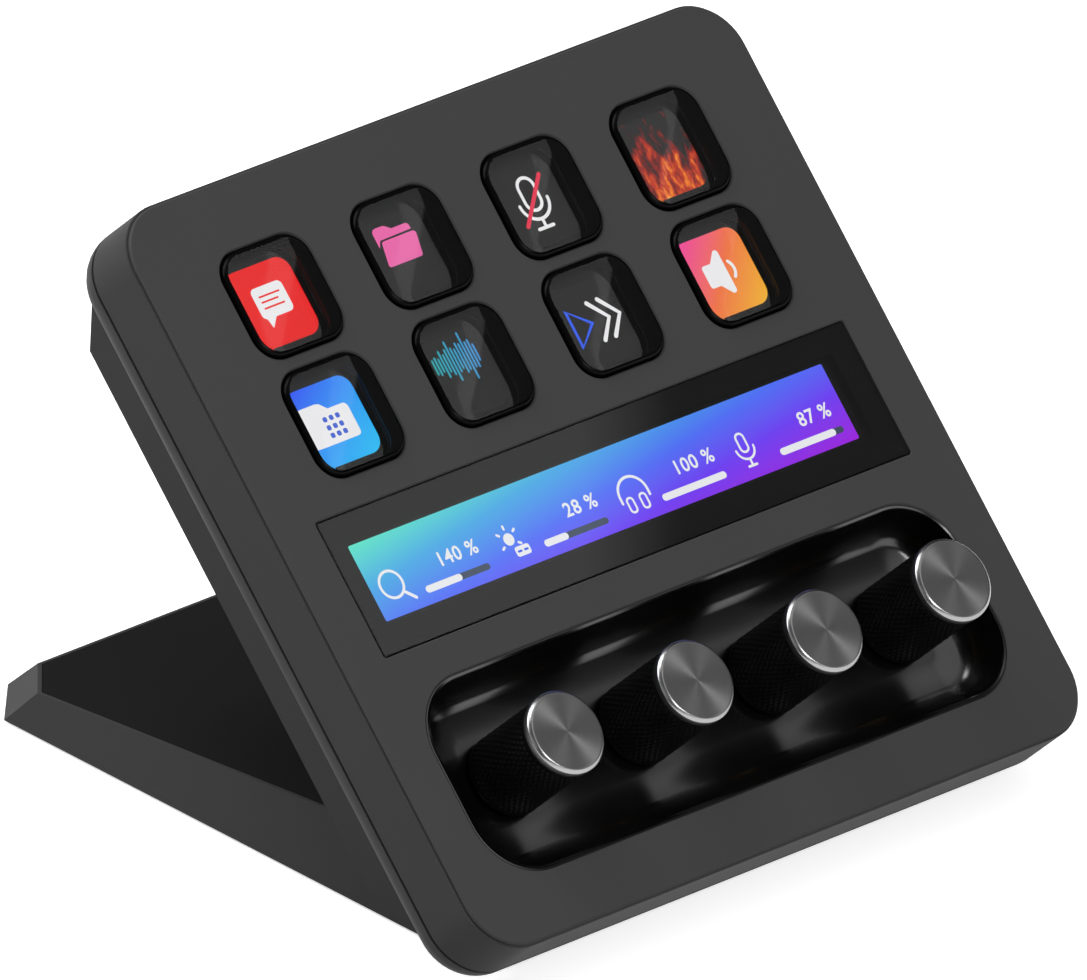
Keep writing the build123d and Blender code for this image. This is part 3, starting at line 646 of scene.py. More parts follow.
class Form:
    """Points and faces of one piece, in millimetres, in the frame of the face."""

    def __init__(self):
        self.points = []
        self.faces = []
        self.kinds = []

    def ring(self, outline, n):
        """Adds an outline at height n and gives the numbers of its points."""
        first = len(self.points)
        self.points += [(x, y, n) for x, y in outline]
        return list(range(first, len(self.points)))

    def face(self, corners, kind=0):
        self.faces.append(corners)
        self.kinds.append(kind)

    def skin(self, lower, upper, kind=0):
        """A closed strip of quads from one ring up to the next."""
        count = len(lower)
        for i in range(count):
            j = (i + 1) % count
            self.face([lower[i], lower[j], upper[j], upper[i]], kind)

    def loft(self, sections, kind=0, kinds=None):
        """A closed solid through (outline, n) sections, from the lowest up."""
        rings = [self.ring(outline, n) for outline, n in sections]
        kinds = kinds or [kind] * (len(rings) - 1)
        for lower, upper, skin_kind in zip(rings, rings[1:], kinds):
            self.skin(lower, upper, skin_kind)
        self.face(rings[0][::-1], kind)
        self.face(rings[-1], kind)

    def make(self, name, materials, body, slot, place):
        """Turns the form into a piece that rides on a body."""
        mesh = bpy.data.meshes.new(name)
        mesh.from_pydata([[c * MM for c in p] for p in self.points], [], self.faces)
        for material in materials:
            mesh.materials.append(material)
        for polygon, kind in zip(mesh.polygons, self.kinds):
            polygon.material_index = kind
            polygon.use_smooth = len(polygon.vertices) == 4
        mesh.set_sharp_from_angle(angle=SHARP_FROM)
        mesh.validate()
        made = new_object(name, mesh)
        made.matrix_world = place
        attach(made, body)
        return made


print("outlines and lofts ready")

# %% [markdown]
# ## Key lenses
#
# Each key is a clear block with a softly rounded front edge. Under the front plate
# it has two wings, which keep it from falling out, and below them a smaller lens
# that reaches towards the display. The front edge could be a bevel modifier, but
# the light bends in it, so it is built from sections that follow a quarter circle.
# The sides, and nearly all of that edge, carry a black coat, which hides the works
# and frames the picture.

# %% Key lenses
COLUMN_PITCH = 29.7
COLUMNS = [(i - 1.5) * COLUMN_PITCH for i in range(4)]
KEY_ROWS = [46.9, 24.7]
KEY_SIZE, KEY_CORNER = 19.4, 4.6
KEY_TOP, KEY_BEVEL = 0.7, 0.9
WINGS_TOP, WINGS_BOTTOM, LENS_BOTTOM = -2.5, -3.3, -4.3
LENS_SIZE, LENS_CHAMFER, WINGS_SIZE = 16.6, 0.1, 22.4
EDGE_STEPS, COATED_STEPS = 10, 9


def black_coat(name, dark, light, roughness, spread, size):
    """Paint or ink between two greys, with specks of this size."""
    graph = Graph(name)
    specks = graph.noise(graph.place(), size, detail=3)
    return graph.surface(
        Base_Color=graph.mix(specks, grey(dark), grey(light)),
        Roughness=roughness + spread * specks,
        Specular_IOR_Level=0.05,
    )


def key_sections():
    corner = KEY_CORNER - (KEY_SIZE - LENS_SIZE) / 2
    end_size = LENS_SIZE - 2 * LENS_CHAMFER
    end = rounded(end_size, end_size, corner - LENS_CHAMFER)
    lens = rounded(LENS_SIZE, LENS_SIZE, corner)
    wings = rounded(WINGS_SIZE, KEY_SIZE, KEY_CORNER)
    block = rounded(KEY_SIZE, KEY_SIZE, KEY_CORNER)
    sections = [(end, LENS_BOTTOM), (lens, LENS_BOTTOM + LENS_CHAMFER), (lens, WINGS_BOTTOM)]
    sections += [(wings, WINGS_BOTTOM), (wings, WINGS_TOP), (block, WINGS_TOP)]
    for i in range(EDGE_STEPS + 1):
        angle = math.radians(90 * i / EDGE_STEPS)
        inset = KEY_BEVEL * (1 - math.cos(angle))
        size = KEY_SIZE - 2 * inset
        height = KEY_TOP - KEY_BEVEL * (1 - math.sin(angle))
        sections.append((rounded(size, size, KEY_CORNER - inset), height))
    return sections


def key_form():
    """The coat covers every skin up to the last step of the edge."""
    form = Form()
    sections = key_sections()
    clear = EDGE_STEPS - COATED_STEPS
    form.loft(sections, kinds=[1] * (len(sections) - 1 - clear) + [0] * clear)
    return form


key_places = [(u, v) for v in KEY_ROWS for u in COLUMNS]
edge_coat = black_coat("edge_coat", 1, 4, 0.22, 0.08, 0.3)
lens_finishes = [finishes["clear_plastic"], edge_coat]
lens = key_form()
for number, (u, v) in enumerate(key_places, 1):
    name, body = f"key_lens_{number}", f"key_{number}"
    made = lens.make(name, lens_finishes, body, "clear_plastic", on_face(u, v))
    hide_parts(f"key_cap_{number}")
print(f"{len(key_places)} key lenses, {len(lens.points)} points each")

# %% [markdown]
# ## Touch glass
#
# The strip's glass is printed black on its back, round a clear window, and its edge
# is painted too. A ray that comes in through the front ends in the print, so the
# border looks black and still shines. The clear window is bonded to the display with
# a gel that bends light almost as the glass does, so hardly any light is reflected
# there and the window doesn't stand out. The glass is one mesh with three finishes.

# %% Touch glass
GLASS_WIDTH, GLASS_HEIGHT, GLASS_CORNER = 120.9, 24.9, 0.45
GLASS_TOP, GLASS_BOTTOM, GLASS_CHAMFER = -0.1, -1.9, 0.15
WINDOW_WIDTH, WINDOW_HEIGHT, WINDOW_CORNER, WINDOW_RISE = 111.8, 15.4, 0.8, 0.4


def glass_form():
    form = Form()
    width, height = GLASS_WIDTH - 2 * GLASS_CHAMFER, GLASS_HEIGHT - 2 * GLASS_CHAMFER
    edge = rounded(GLASS_WIDTH, GLASS_HEIGHT, GLASS_CORNER)
    front = rounded(width, height, GLASS_CORNER - GLASS_CHAMFER)
    clear_part = rounded(WINDOW_WIDTH, WINDOW_HEIGHT, WINDOW_CORNER, (0, WINDOW_RISE))
    window = form.ring(clear_part, GLASS_BOTTOM)
    back = form.ring(edge, GLASS_BOTTOM)
    side = form.ring(edge, GLASS_TOP - GLASS_CHAMFER)
    rim = form.ring(front, GLASS_TOP)
    form.face(window[::-1], 2)
    form.skin(window, back, 1)
    form.skin(back, side, 1)
    form.skin(side, rim)
    form.face(rim)
    return form


print_ink = black_coat("print_ink", 4, 8, 0.5, 0.15, 0.4)
glass_finishes = [finishes["strip_glass"], print_ink, finishes["bonding_gel"]]
glass_place = on_face(0, STRIP_V)
glass = glass_form().make("printed_glass", glass_finishes, "base", "strip_glass", glass_place)
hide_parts("touch_glass")
print(f"touch glass {GLASS_WIDTH} x {GLASS_HEIGHT} mm with a printed border")

# %% [markdown]
# ## Lit pictures
#
# Under each lens the display shows a picture about 14 mm square. An image texture
# would do, but flat tiles cut to shape stay sharp at any distance and need no image
# file. A picture is a thin base tile with smaller tiles on it. A stroke with round
# ends is enough for most symbols, so Picture offers strokes, filled outlines and
# rings, each in one of its colours.


# %% Tiles and strokes
def heading(start, end):
    """The direction from one point to another, in degrees."""
    return math.degrees(math.atan2(end[1] - start[1], end[0] - start[0]))


TILE = 0.012


class Picture:
    """A lit base tile and the coloured tiles, TILE thick, that lie on it."""

    def __init__(self, outline, base, low, thickness):
        self.form = Form()
        self.materials = [base]
        self.top = low + thickness
        self.form.loft([(outline, low), (outline, self.top)])

    def colour(self, material):
        if material not in self.materials:
            self.materials.append(material)
        return self.materials.index(material)

    def fill(self, outline, material, layer=1):
        """A filled tile; a higher layer lies over a lower one."""
        low = self.top + TILE * (layer - 1)
        self.form.loft([(outline, low), (outline, low + TILE)], self.colour(material))

    def stroke(self, points, width, material, layer=1, closed=False):
        """A line of even width with round ends along the points."""
        sides = ([], [])
        count = len(points)
        for i, (x, y) in enumerate(points):
            before = points[i - 1] if i or closed else points[i]
            after = points[(i + 1) % count] if i < count - 1 or closed else points[i]
            dx, dy = after[0] - before[0], after[1] - before[1]
            length = math.hypot(dx, dy)
            nx, ny = -dy / length * width / 2, dx / length * width / 2
            sides[0].append((x + nx, y + ny))
            sides[1].append((x - nx, y - ny))
        if closed:
            self.band(*sides, material, layer)
            return
        end = heading(points[-2], points[-1])
        start = heading(points[1], points[0])
        outline = sides[1] + arc(width / 2, end - 90, end + 90, 9, points[-1])[1:-1]
        outline += sides[0][::-1] + arc(width / 2, start - 90, start + 90, 9, points[0])[1:-1]
        self.fill(outline, material, layer)

    def band(self, inner, outer, material, layer):
        """A closed tile between two outlines, such as a ring."""
        low = self.top + TILE * (layer - 1)
        kind = self.colour(material)
        rings = [self.form.ring(outline, low) for outline in (outer, inner)]
        rings += [self.form.ring(outline, low + TILE) for outline in (outer, inner)]
        for lower, upper in ((0, 2), (3, 1), (2, 3), (1, 0)):
            self.form.skin(rings[lower], rings[upper], kind)


print("tiles and strokes ready")

# %% [markdown]
# ## Light of the displays
#
# A lit material gives off its own colour. Plain symbols need one colour, faintly
# cut by the dark grid between the picture elements. Some backgrounds run from one
# colour to another across the tile, and the ember picture builds its colours from
# cloudy noise that is squeezed sideways, so that it rises like flames.

# %% Lit materials
GRID_PITCH, GRID_HALF, GRID_DIMMING = 0.16, 0.07, 0.05


def lit(name, colour_of):
    """A glowing finish. colour_of(graph, x, y) gives its colour at a place in mm."""
    graph = Graph(name)
    x, y, _ = graph.split(graph.place())
    column_gap = abs(x.repeat(GRID_PITCH)) > GRID_HALF
    row_gap = abs(y.repeat(GRID_PITCH)) > GRID_HALF
    colour = colour_of(graph, x, y)
    return graph.surface(
        Base_Color=grey(2),
        Roughness=0.4,
        Specular_IOR_Level=0.1,
        Emission_Color=graph.mix((column_gap + row_gap) * GRID_DIMMING, colour, grey(0)),
        Emission_Strength=1.0,
    )


def plain(name, colour):
    return lit(name, lambda graph, x, y: colour)


def sweep(name, colours, along_x, along_y, length):
    """Colours that change evenly in the direction (along_x, along_y)."""
    stops = [(i / (len(colours) - 1), colour) for i, colour in enumerate(colours)]

    def colour_of(graph, x, y):
        return graph.ramp((x * along_x + y * along_y) / length + 0.5, stops)
    return lit(name, colour_of)


white = plain("lit_white", paint(240, 240, 242))
dark = plain("lit_dark", grey(12))
track_grey = plain("lit_track", paint(62, 76, 96))
red = plain("lit_red", paint(236, 8, 8))
pink = plain("lit_pink", paint(236, 100, 170))
crimson = plain("lit_crimson", paint(226, 22, 66))
blue = plain("lit_blue", paint(40, 92, 240))
folder_blue = plain("lit_folder_blue", paint(50, 94, 210))
sky = sweep("lit_sky", [paint(40, 66, 248), paint(24, 196, 250)], 0.6, -0.8, 20)
sunset_colours = [paint(244, 44, 164), paint(244, 112, 58), paint(246, 184, 30)]
sunset = sweep("lit_sunset", sunset_colours, 0.75, -0.66, 20)
teal = sweep("lit_teal", [paint(28, 168, 168), paint(50, 134, 210)], 1, 0, 12)


def ember_colour(graph, x, y):
    squeezed = graph.add("ShaderNodeCombineXYZ", {}, {"X": x * 1.6, "Y": y * 0.7})["Vector"]
    flames = graph.noise(squeezed, 3.2, detail=5, roughness=0.62)
    height = 0.62 - y / 26 - abs(x + 1.5) / 40
    stops = [
        (0.3, grey(22)),
        (0.44, paint(116, 12, 8)),
        (0.56, paint(196, 48, 12)),
        (0.68, paint(240, 128, 24)),
        (0.82, paint(252, 206, 96)),
    ]
    return graph.ramp(height * 0.75 + (flames - 0.5) * 1.4, stops)


embers = lit("lit_embers", ember_colour)
print(len([m for m in bpy.data.materials if m.name.startswith("lit_")]), "lit finishes")

# %% [markdown]
# ## The eight key pictures
#
# Every key shows a plain symbol: a speech bubble, a folder, a microphone with a
# slash, embers, a folder with a grid, sound bars, a fast-forward sign and a
# loudspeaker. The embers are the glow of the base tile itself. One short function
# draws each of the others, in millimetres from the middle of the tile. The tiles lie
# a little right of the key's centres, where they look right through the lenses.


# %% Key symbols
def draw_bubble(picture):
    picture.fill(rounded(6.9, 5.6, 1.0, (0.35, 0.6)), white)
    picture.fill([(-2.4, -2.0), (-0.2, -2.0), (-2.0, -3.9)], white)
    for y, right in ((1.7, 2.5), (0.7, 1.7), (-0.4, 2.5)):
        picture.stroke([(-1.8, y), (right, y)], 0.32, red, 2)


def draw_folder(picture):
    back = arc(0.9, 90, 180, 6, (-2.8, 4.7)) + [(-3.7, 2.2), (-2.9, 3.4), (4.1, 3.5)]
    back += arc(0.7, 0, 90, 5, (3.4, 4.0)) + [(0.4, 4.7)] + arc(1.0, 60, 90, 4, (-1.2, 4.6))
    picture.fill(back, pink)
    front = arc(0.6, 90, 160, 5, (-2.3, 2.5)) + arc(0.5, 190, 270, 5, (-3.2, -0.9))
    front += arc(0.5, 270, 345, 5, (3.4, -0.9)) + arc(0.6, 0, 90, 5, (4.1, 2.5))
    picture.fill(front, pink, 2)


def draw_microphone(picture):
    capsule = arc(1.7, 0, 180, 14, (0.6, 3.1)) + arc(1.7, 180, 360, 14, (0.6, 0.6))
    picture.stroke(capsule, 0.6, white, closed=True)
    picture.stroke(arc(3.1, 180, 360, 22, (0.6, 0.4)), 0.6, white)
    picture.stroke([(0.6, -2.7), (0.6, -4.3)], 0.6, white)
    picture.stroke([(-1.0, -4.3), (2.2, -4.3)], 0.6, white)
    picture.stroke([(-2.9, -3.2), (4.3, 4.4)], 0.75, crimson, 2)


def draw_grid_folder(picture):
    outline = arc(0.7, 90, 180, 5, (-5.2, 3.2)) + arc(0.7, 180, 270, 5, (-5.2, -2.8))
    outline += arc(0.8, 270, 360, 5, (3.5, -2.7)) + arc(0.9, 0, 90, 5, (3.4, 1.6))
    outline += [(0.2, 2.5), (-1.1, 3.7)] + arc(0.6, 60, 90, 3, (-1.9, 3.3))
    picture.fill(outline, white)
    for x in (-1.4, 0.0, 1.4):
        for y in (0.9, -0.6, -2.0):
            picture.fill(rounded(0.9, 0.9, 0.3, (x, y)), folder_blue, 2)


def draw_sound_bars(picture):
    heights = (2.4, 3.0, 2.2, 4.6, 3.0, 4.4, 6.9, 4.2, 3.4, 5.2, 4.6, 8.2, 4.4, 4.8, 2.8)
    for i, height in enumerate(heights):
        x = -4.9 + 0.66 * i
        picture.stroke([(x, 2.4 - height / 2), (x, 2.4 + height / 2)], 0.4, teal)


def draw_forward(picture):
    picture.stroke([(-4.3, 3.3), (-4.3, -3.3), (-0.2, 0.0)], 0.85, blue, closed=True)
    for x in (0.6, 3.0):
        picture.stroke([(x, 3.4), (x + 3.0, 0.0), (x, -3.4)], 0.8, white)


def draw_loudspeaker(picture):
    outline = arc(0.5, 90, 180, 4, (-2.9, 1.7)) + arc(0.5, 180, 270, 4, (-2.9, -1.4))
    outline += [(-1.3, -1.9)] + arc(0.6, 225, 360, 7, (0.7, -3.2)) + arc(0.6, 0, 135, 7, (0.7, 3.5))
    outline += [(-1.3, 2.2)]
    picture.fill(outline, white)
    picture.stroke(arc(2.0, -45, 45, 8, (0.9, 0.15)), 0.6, white)


PICTURE_SIZE, PICTURE_CORNER = 14.2, 2.6
PICTURE_BOTTOM, PICTURE_THICKNESS = -5.59, 0.04
PICTURE_U, PICTURE_V = 0.45, 0.09
drawings = [
    (red, draw_bubble),
    (dark, draw_folder),
    (dark, draw_microphone),
    (embers, None),
    (sky, draw_grid_folder),
    (dark, draw_sound_bars),
    (dark, draw_forward),
    (sunset, draw_loudspeaker),
]
for number, ((u, v), (base, draw)) in enumerate(zip(key_places, drawings), 1):
    tile = rounded(PICTURE_SIZE, PICTURE_SIZE, PICTURE_CORNER)
    picture = Picture(tile, base, PICTURE_BOTTOM, PICTURE_THICKNESS)
    if draw:
        draw(picture)
    place = on_face(u + PICTURE_U, v + PICTURE_V)
    picture.form.make(f"key_picture_{number}", picture.materials, "base", "panel", place)
print(f"{len(drawings)} key pictures")

# %% [markdown]
# ## The picture of the touch strip
#
# The strip shows four fields on one long sweep of colour, from teal over blue to
# violet. Each field has a symbol, a number and a level bar. The numbers are text
# objects, turned into meshes so that they need no font when the model moves on.

# %% Strip picture
STRIP_WIDTH, STRIP_HEIGHT, STRIP_CORNER = 108.6, 14.0, 0.3
STRIP_MIDDLE_U, STRIP_MIDDLE_V = -0.6, -2.73
STRIP_TOP, STRIP_THICKNESS = -3.7, 0.19
strip_stops = [
    (0.0, paint(92, 232, 200)),
    (0.25, paint(66, 172, 232)),
    (0.5, paint(80, 112, 250)),
    (0.72, paint(112, 62, 248)),
    (1.0, paint(160, 26, 226)),
]


def strip_colour(graph, x, y):
    along = x / STRIP_WIDTH + 0.5
    down = 0.5 - y / STRIP_HEIGHT
    return graph.ramp(along * 0.55 + down * 0.45, strip_stops)


strip_tile = rounded(STRIP_WIDTH, STRIP_HEIGHT, STRIP_CORNER)
strip_base = lit("lit_strip", strip_colour)
strip = Picture(strip_tile, strip_base, STRIP_TOP - STRIP_THICKNESS, STRIP_THICKNESS)
BAR_V, BAR_WIDTH, BAR_THICKNESS, TRACK_THICKNESS = -4.5, 13.4, 1.25, 1.15


def level_bar(left, level):
    end = left + BAR_WIDTH * level
    if level < 1:
        track = [(end - 1, BAR_V), (left + BAR_WIDTH, BAR_V)]
        strip.stroke(track, TRACK_THICKNESS, track_grey)
    strip.stroke([(left, BAR_V), (end, BAR_V)], BAR_THICKNESS, white, 2)


for left, level in ((-43.2, 0.52), (-16.1, 0.31), (11.0, 1.0), (38.2, 0.86)):
    level_bar(left, level)


def draw_magnifier(x, y):
    strip.stroke(circle(2.4, 40, (x, y)), 0.5, white, closed=True)
    strip.stroke([(x + 1.8, y - 1.9), (x + 3.5, y - 3.5)], 0.6, white)


def draw_lamp(x, y):
    strip.fill(circle(1.1, 28, (x, y)), white)
    for angle in (35, 90, 145, 212, 328):
        a = math.radians(angle)
        points = [(x + r * math.cos(a), y + r * math.sin(a)) for r in (1.9, 2.4)]
        strip.stroke(points, 0.45, white)
    strip.fill(rounded(3.2, 1.8, 0.5, (x + 1.7, y - 2.5)), white, 2)
    for dx in (1.0, 2.4):
        strip.stroke([(x + dx - 0.3, y - 2.5), (x + dx + 0.3, y - 2.5)], 0.4, blue, 3)


def draw_headphones(x, y):
    band = [(x - 3.1, y - 1.0)] + arc(3.1, 180, 0, 26, (x, y)) + [(x + 3.1, y - 1.0)]
    strip.stroke(band, 0.5, white)
    for side in (-1.45, 1.45):
        cup = rounded(1.35, 2.6, 0.6, (x + side, y - 1.7))
        strip.stroke(cup, 0.4, white, closed=True)


def draw_small_microphone(x, y):
    strip.stroke(rounded(1.7, 3.3, 0.8, (x, y)), 0.42, white, closed=True)
    strip.stroke(arc(1.95, 180, 360, 18, (x, y - 1.0)), 0.42, white)
    strip.stroke([(x, y - 3.0), (x, y - 4.1)], 0.45, white)
    strip.stroke([(x - 0.9, y - 4.2), (x + 0.9, y - 4.2)], 0.45, white)


draw_magnifier(-49.8, -1.5)
draw_lamp(-23.1, -1.6)
draw_headphones(5.3, -2.0)
draw_small_microphone(31.1, -0.6)
strip_place = on_face(STRIP_MIDDLE_U, STRIP_MIDDLE_V)
strip.form.make("strip_picture", strip.materials, "base", "panel", strip_place)

NUMBER_SIZE, NUMBER_SPACING, NUMBER_BASELINE, NUMBER_LIFT = 3.5, 1.08, -1.7, 0.01
NUMBER_HALF_THICKNESS, NUMBER_BOLDER = 0.006, 0.06


def number_piece(name, text, right):
    """A number that ends at right, in millimetres from the middle of the strip."""
    curve = bpy.data.curves.new(name, "FONT")
    curve.body = text
    curve.size = NUMBER_SIZE * MM
    curve.space_character = NUMBER_SPACING
    curve.extrude = NUMBER_HALF_THICKNESS * MM
    curve.offset = NUMBER_BOLDER * MM
    curve.align_x = "RIGHT"
    curve.resolution_u = 4
    loose = bpy.data.objects.new(name, curve)
    mesh = bpy.data.meshes.new_from_object(loose)
    bpy.data.objects.remove(loose)
    mesh.name = name
    mesh.materials.clear()
    mesh.materials.append(white)
    made = new_object(name, mesh)
    u, v = STRIP_MIDDLE_U + right, STRIP_MIDDLE_V + NUMBER_BASELINE
    made.matrix_world = on_face(u, v, STRIP_TOP + NUMBER_LIFT)
    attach(made, "base")


numbers = [("140 %", -29.8), ("28 %", -2.5), ("100 %", 24.4), ("87 %", 51.4)]
for number, (text, right) in enumerate(numbers, 1):
    number_piece(f"strip_number_{number}", text, right)
print("strip picture:", STRIP_WIDTH, "x", STRIP_HEIGHT, "mm, with 4 numbers")

# %% [markdown]
# ## Knurled dials
#
# A knurl is two sets of grooves that wind round the dial in opposite directions and
# leave diamonds between them. The height of the surface is a formula of the angle
# and the height along the dial, so the mesh is a fine grid wrapped round the axis,
# with each point pushed in by the deeper of the two grooves. The ends stay plain,
# as a knurling tool leaves them.

# %% Dials
DIAL_RADIUS, DIAL_LOW, DIAL_HIGH = 7.3, -5.6, 11.8
DIAL_SEAT, DIAL_SEAT_FLOOR = 5.5, 10.35
SKIRT_RADIUS, SKIRT_TOP = 5.8, 0.2
BORE_RADIUS, BORE_TOP, END_ROUND = 3.02, 8.3, 0.2
KNURLS, KNURL_DEPTH, KNURL_PITCH = 46, 0.24, 1.0
GROOVE_NARROWER, GROOVE_CURVE = 1.15, 1.2
PLAIN_END, FADE = 0.5, 0.4
AROUND, UPWARD = 276, 104


def groove(turns):
    """Depth from 0 to 1 of a groove whose middle is at each whole turn."""
    from_middle = abs(turns - round(turns)) * 2
    return max(0.0, 1 - from_middle * GROOVE_NARROWER) ** GROOVE_CURVE


def knurl_radius(angle, height):
    first = groove(KNURLS * angle / math.tau + height / KNURL_PITCH / 2)
    second = groove(KNURLS * angle / math.tau - height / KNURL_PITCH / 2)
    to_end = min(height - DIAL_LOW, DIAL_HIGH - height)
    fade = min(1.0, (to_end - PLAIN_END) / FADE)
    return DIAL_RADIUS - KNURL_DEPTH * max(first, second) * max(0.0, fade)


def knurled_ring(form, height):
    angles = [math.tau * i / AROUND for i in range(AROUND)]
    radii = [knurl_radius(a, height) for a in angles]
    outline = [(r * math.cos(a), r * math.sin(a)) for a, r in zip(angles, radii)]
    return form.ring(outline, height)


def dial_form():
    form = Form()
    inside = [(BORE_RADIUS, BORE_TOP), (BORE_RADIUS, SKIRT_TOP), (SKIRT_RADIUS, SKIRT_TOP)]
    inside += [(SKIRT_RADIUS, DIAL_LOW), (DIAL_RADIUS - END_ROUND, DIAL_LOW)]
    rings = [form.ring(circle(r, AROUND), n) for r, n in inside]
    low, high = DIAL_LOW + END_ROUND, DIAL_HIGH - END_ROUND
    heights = [low + (high - low) * i / UPWARD for i in range(UPWARD + 1)]
    rings += [knurled_ring(form, height) for height in heights]
    rim = [(DIAL_RADIUS - END_ROUND, DIAL_HIGH), (DIAL_SEAT, DIAL_HIGH)]
    rim.append((DIAL_SEAT, DIAL_SEAT_FLOOR))
    rings += [form.ring(circle(r, AROUND), n) for r, n in rim]
    for lower, upper in zip(rings, rings[1:]):
        form.skin(lower, upper)
    form.face(rings[0][::-1])
    form.face(rings[-1])
    return form


dial = dial_form()
dial_finishes = [finishes["knob_plastic"]]
for number, u in enumerate(COLUMNS, 1):
    name, body = f"dial_{number}", f"dial_turn_{number}"
    made = dial.make(name, dial_finishes, body, "knob_plastic", on_face(u, BAY_V))
    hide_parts(f"knob_{number}")
knurl_pitch = math.tau * DIAL_RADIUS / KNURLS
print(f"4 dials, {len(dial.points)} points each, knurl pitch {knurl_pitch:.2f} mm")

# %% [markdown]
# ## Spun metal caps
#
# Each dial ends in a thin metal disc with a bright chamfer and a spigot that sits
# in the dial. It is turned on a lathe, so it is a stack of circles. The disc is
# very slightly domed, and the chamfer has two narrow rounds, which catch the light
# as a real edge does.

# %% Caps
CAP_RADIUS, CAP_LOW, CAP_HIGH, CAP_CHAMFER = 7.4, 11.8, 13.6, 0.55
SPIGOT_RADIUS, SPIGOT_LOW, SPIGOT_CHAMFER = 5.44, 10.42, 0.14
CAP_EDGE, CAP_POINTS = 0.08, 128
# The skins from the start of the lower round to the end of the upper one.
CHAMFER_SKINS = range(5, 8)


def cap_profile():
    """Radius and height of each circle, from the spigot's end to the middle on top."""
    shoulder, rim = CAP_HIGH - CAP_CHAMFER, CAP_RADIUS - CAP_CHAMFER
    spigot = [(SPIGOT_RADIUS - SPIGOT_CHAMFER, SPIGOT_LOW)]
    spigot += [(SPIGOT_RADIUS, SPIGOT_LOW + SPIGOT_CHAMFER), (SPIGOT_RADIUS, CAP_LOW)]
    side = [(CAP_RADIUS - CAP_EDGE, CAP_LOW), (CAP_RADIUS, CAP_LOW + CAP_EDGE)]
    lower_round = [(CAP_RADIUS, shoulder - 0.06), (CAP_RADIUS - 0.05, shoulder + 0.03)]
    upper_round = [(rim + 0.04, CAP_HIGH - 0.06), (rim - 0.05, CAP_HIGH - 0.02)]
    dome = [(6.5, CAP_HIGH - 0.02), (4.4, CAP_HIGH - 0.008), (2.2, CAP_HIGH), (0.4, CAP_HIGH)]
    return spigot + side + lower_round + upper_round + dome


def cap_form():
    form = Form()
    profile = cap_profile()
    kinds = [int(i in CHAMFER_SKINS) for i in range(len(profile) - 1)]
    form.loft([(circle(r, CAP_POINTS), n) for r, n in profile], kinds=kinds)
    return form


cap = cap_form()
cap_finishes = [finishes["cap_metal"], chamfer_metal_painted_bright]
for number, u in enumerate(COLUMNS, 1):
    name, body = f"dial_cap_{number}", f"dial_turn_{number}"
    made = cap.make(name, cap_finishes, body, "cap_metal", on_face(u, BAY_V))
    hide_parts(f"knob_cap_{number}")
print(f"4 caps, {len(cap.points)} points each")

# %% [markdown]
# ## Floor
#
# A plain pale floor carries the shadow. To the camera, and in gloss and glass, it is
# a white sheet that is partly lit by itself. Diffuse light meets a dark sheet
# instead, because light thrown up from a white floor would grey all the black sides.

# %% Floor
FLOOR_SIZE = 12


def floor_finish():
    graph = Graph("floor")
    place = graph.place()
    cloud = graph.noise(place, 260, detail=2)
    white_sheet = graph.shader(
        Base_Color=graph.mix(cloud, grey(232), grey(236)),
        Roughness=0.9,
        Specular_IOR_Level=0.1,
        Emission_Color=graph.mix(cloud, grey(207), grey(209)),
        Emission_Strength=1.0,
    )
    dark_sheet = graph.shader(Base_Color=grey(70), Roughness=0.9, Specular_IOR_Level=0.0)
    path = graph.add("ShaderNodeLightPath")
    seen = path["Is Camera Ray"] + path["Is Glossy Ray"] + path["Is Transmission Ray"]
    inputs = {"Fac": seen, "Shader": dark_sheet, "Shader_001": white_sheet}
    return graph.finish(graph.add("ShaderNodeMixShader", {}, inputs)["Shader"])


def floor_piece():
    mesh = bpy.data.meshes.new("floor")
    low, high = -FLOOR_SIZE / 2, FLOOR_SIZE / 2
    corners = [(low, low, 0), (high, low, 0), (high, high, 0), (low, high, 0)]
    mesh.from_pydata(corners, [], [(0, 1, 2, 3)])
    mesh.materials.append(floor_finish())
    made = new_object("floor", mesh)
    made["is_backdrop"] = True


floor_piece()
print(f"floor of {FLOOR_SIZE} x {FLOOR_SIZE} m")

# %% [markdown]
# ## Lamps and room
#
# The lamps are soft boxes: one in front for the face, one at the left, one high up
# behind for the sides, and a small one overhead for the chamfers of the caps. The
# room is dim, because gloss black shows all of it. Its one broad glow ends on the
# right in a straight soft edge, as a window does. The camera sees that edge mirrored
# in the middle of the strip's glass: its left half looks grey and its right half
# black. Under the horizon the room is white to gloss and glass, as the floor is.


# %% Lamps and room
def softbox(name, place, aim, width, height, power):
    """A flat lamp that looks at aim, its sizes in metres and its power in watts."""
    lamp = bpy.data.lights.new(name, "AREA")
    lamp.shape = "RECTANGLE"
    lamp.size, lamp.size_y = width, height
    lamp.energy = power
    holder = new_object(name, lamp)
    holder.location = place
    holder.rotation_euler = (Vector(aim) - Vector(place)).to_track_quat("-Z", "Y").to_euler()


middle = (0, 0, 0.05)
softbox("lamp_high", (-0.5, 0.5, 0.65), middle, 0.6, 0.45, 6)
softbox("lamp_top", (-0.12, 0.31, 0.78), middle, 0.4, 0.3, 2.5)
softbox("lamp_left", (-1.35, -0.25, 0.7), middle, 1.0, 0.9, 1.2)
softbox("lamp_front", (-0.35, -1.35, 0.75), middle, 0.9, 0.5, 12.5)

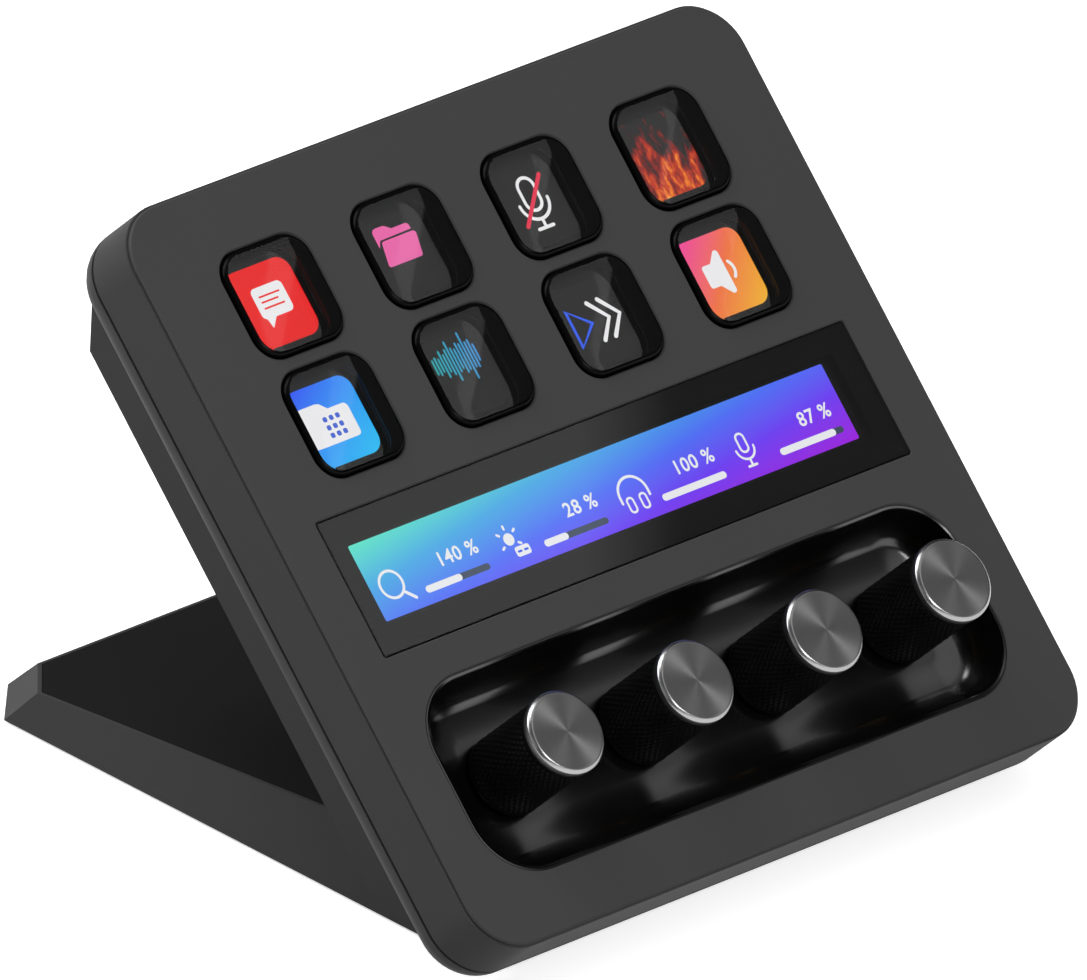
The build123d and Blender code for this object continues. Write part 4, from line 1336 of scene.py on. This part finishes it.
# Directions are compared by their dot product, which is 1 where they agree, and the
# blur of the glow's edge is in that measure too.
GLOW_TOWARDS = (0.34881, -0.44856, 0.82287)
GLOW_SIDE, GLOW_BLUR = (-0.73144, -0.0917, 0.67571), 0.0026
GLOW_STARTS, GLOW_FULL = 0.6, 0.93
HALO_STARTS, HALO_FULL = 0.5, 0.94
GLOW, HALO, DIM = grey(252), grey(126), grey(63)
HORIZON = 0.02
WHITE, BLACK = (1, 1, 1, 1), (0, 0, 0, 1)


def room():
    """A dim room with one glow, high in front, cut off by a straight edge."""
    graph = Graph("room", bpy.data.worlds)
    direction = graph.add("ShaderNodeTexCoord")["Generated"]
    toward = graph.dot(direction, GLOW_TOWARDS)
    halo = graph.ramp(toward, [(HALO_STARTS, DIM), (HALO_FULL, HALO)])
    glow = graph.ramp(toward, [(GLOW_STARTS, DIM), (GLOW_FULL, GLOW)])
    past_edge = graph.dot(direction, GLOW_SIDE) / GLOW_BLUR + 0.5
    inside = graph.ramp(past_edge, [(0.0, BLACK), (1.0, WHITE)])
    light = graph.mix(inside, halo, glow)
    path = graph.add("ShaderNodeLightPath")
    below = graph.split(direction)[2] < HORIZON
    seen = path["Is Camera Ray"] + below * (path["Is Glossy Ray"] + path["Is Transmission Ray"])
    background = {"Color": graph.mix(seen, light, WHITE)}
    sky = graph.add("ShaderNodeBackground", {}, background)["Background"]
    graph.add("ShaderNodeOutputWorld", {}, {"Surface": sky})
    return graph.owner


bpy.context.scene.world = room()
bpy.context.scene.view_settings.view_transform = "Standard"
print("4 soft boxes and a dim room")

# %% [markdown]
# ## Camera
#
# The view is from the left, above and in front, through a very long lens, so that
# parallel edges stay parallel. The camera is rolled by three degrees. Its place is
# worked out from the direction it looks in, the point it looks at and its distance.

# %% Camera
AZIMUTH, ELEVATION, ROLL = (math.radians(a) for a in (-45.199, 26.378, 2.959))
DISTANCE = 6.0
AIM, SHIFT_RIGHT, SHIFT_DOWN = Vector((0, 0, 0.055)), 4.842, 4.828
PIXELS_PER_METRE, IMAGE_WIDTH, SENSOR = 6038.2, 1087, 36.0
NEAR, FAR = 0.5, 40

back = Vector((
    math.sin(AZIMUTH) * math.cos(ELEVATION),
    -math.cos(AZIMUTH) * math.cos(ELEVATION),
    math.sin(ELEVATION),
))
level = Vector((0, 0, 1)).cross(back).normalized()
right = level * math.cos(ROLL) + back.cross(level) * math.sin(ROLL)
up = back.cross(right)
target = AIM + right * SHIFT_RIGHT * MM - up * SHIFT_DOWN * MM

lens_data = bpy.data.cameras.new("camera")
lens_data.sensor_width = SENSOR
lens_data.lens = SENSOR * PIXELS_PER_METRE * DISTANCE / IMAGE_WIDTH
lens_data.clip_start, lens_data.clip_end = NEAR, FAR
camera = new_object("camera", lens_data)
camera.matrix_world = Matrix((right, up, back)).transposed().to_4x4()
camera.location = target + back * DISTANCE
bpy.context.scene.camera = camera
print(f"camera at {DISTANCE} m with a {lens_data.lens:.0f} mm lens")

# %% [markdown]
# ## Check and finish
#
# The looks must not change the size. The box of the CAD model and the box of what
# now shows are compared, and the largest difference is printed.

# %% Size and finish
bpy.context.view_layer.update()
shown_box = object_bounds()
growth = [max(abs(a - b) for a, b in zip(c, s)) / MM for c, s in zip(cad_box, shown_box)]
print(f"the shown box differs by at most {max(growth):.2f} mm")
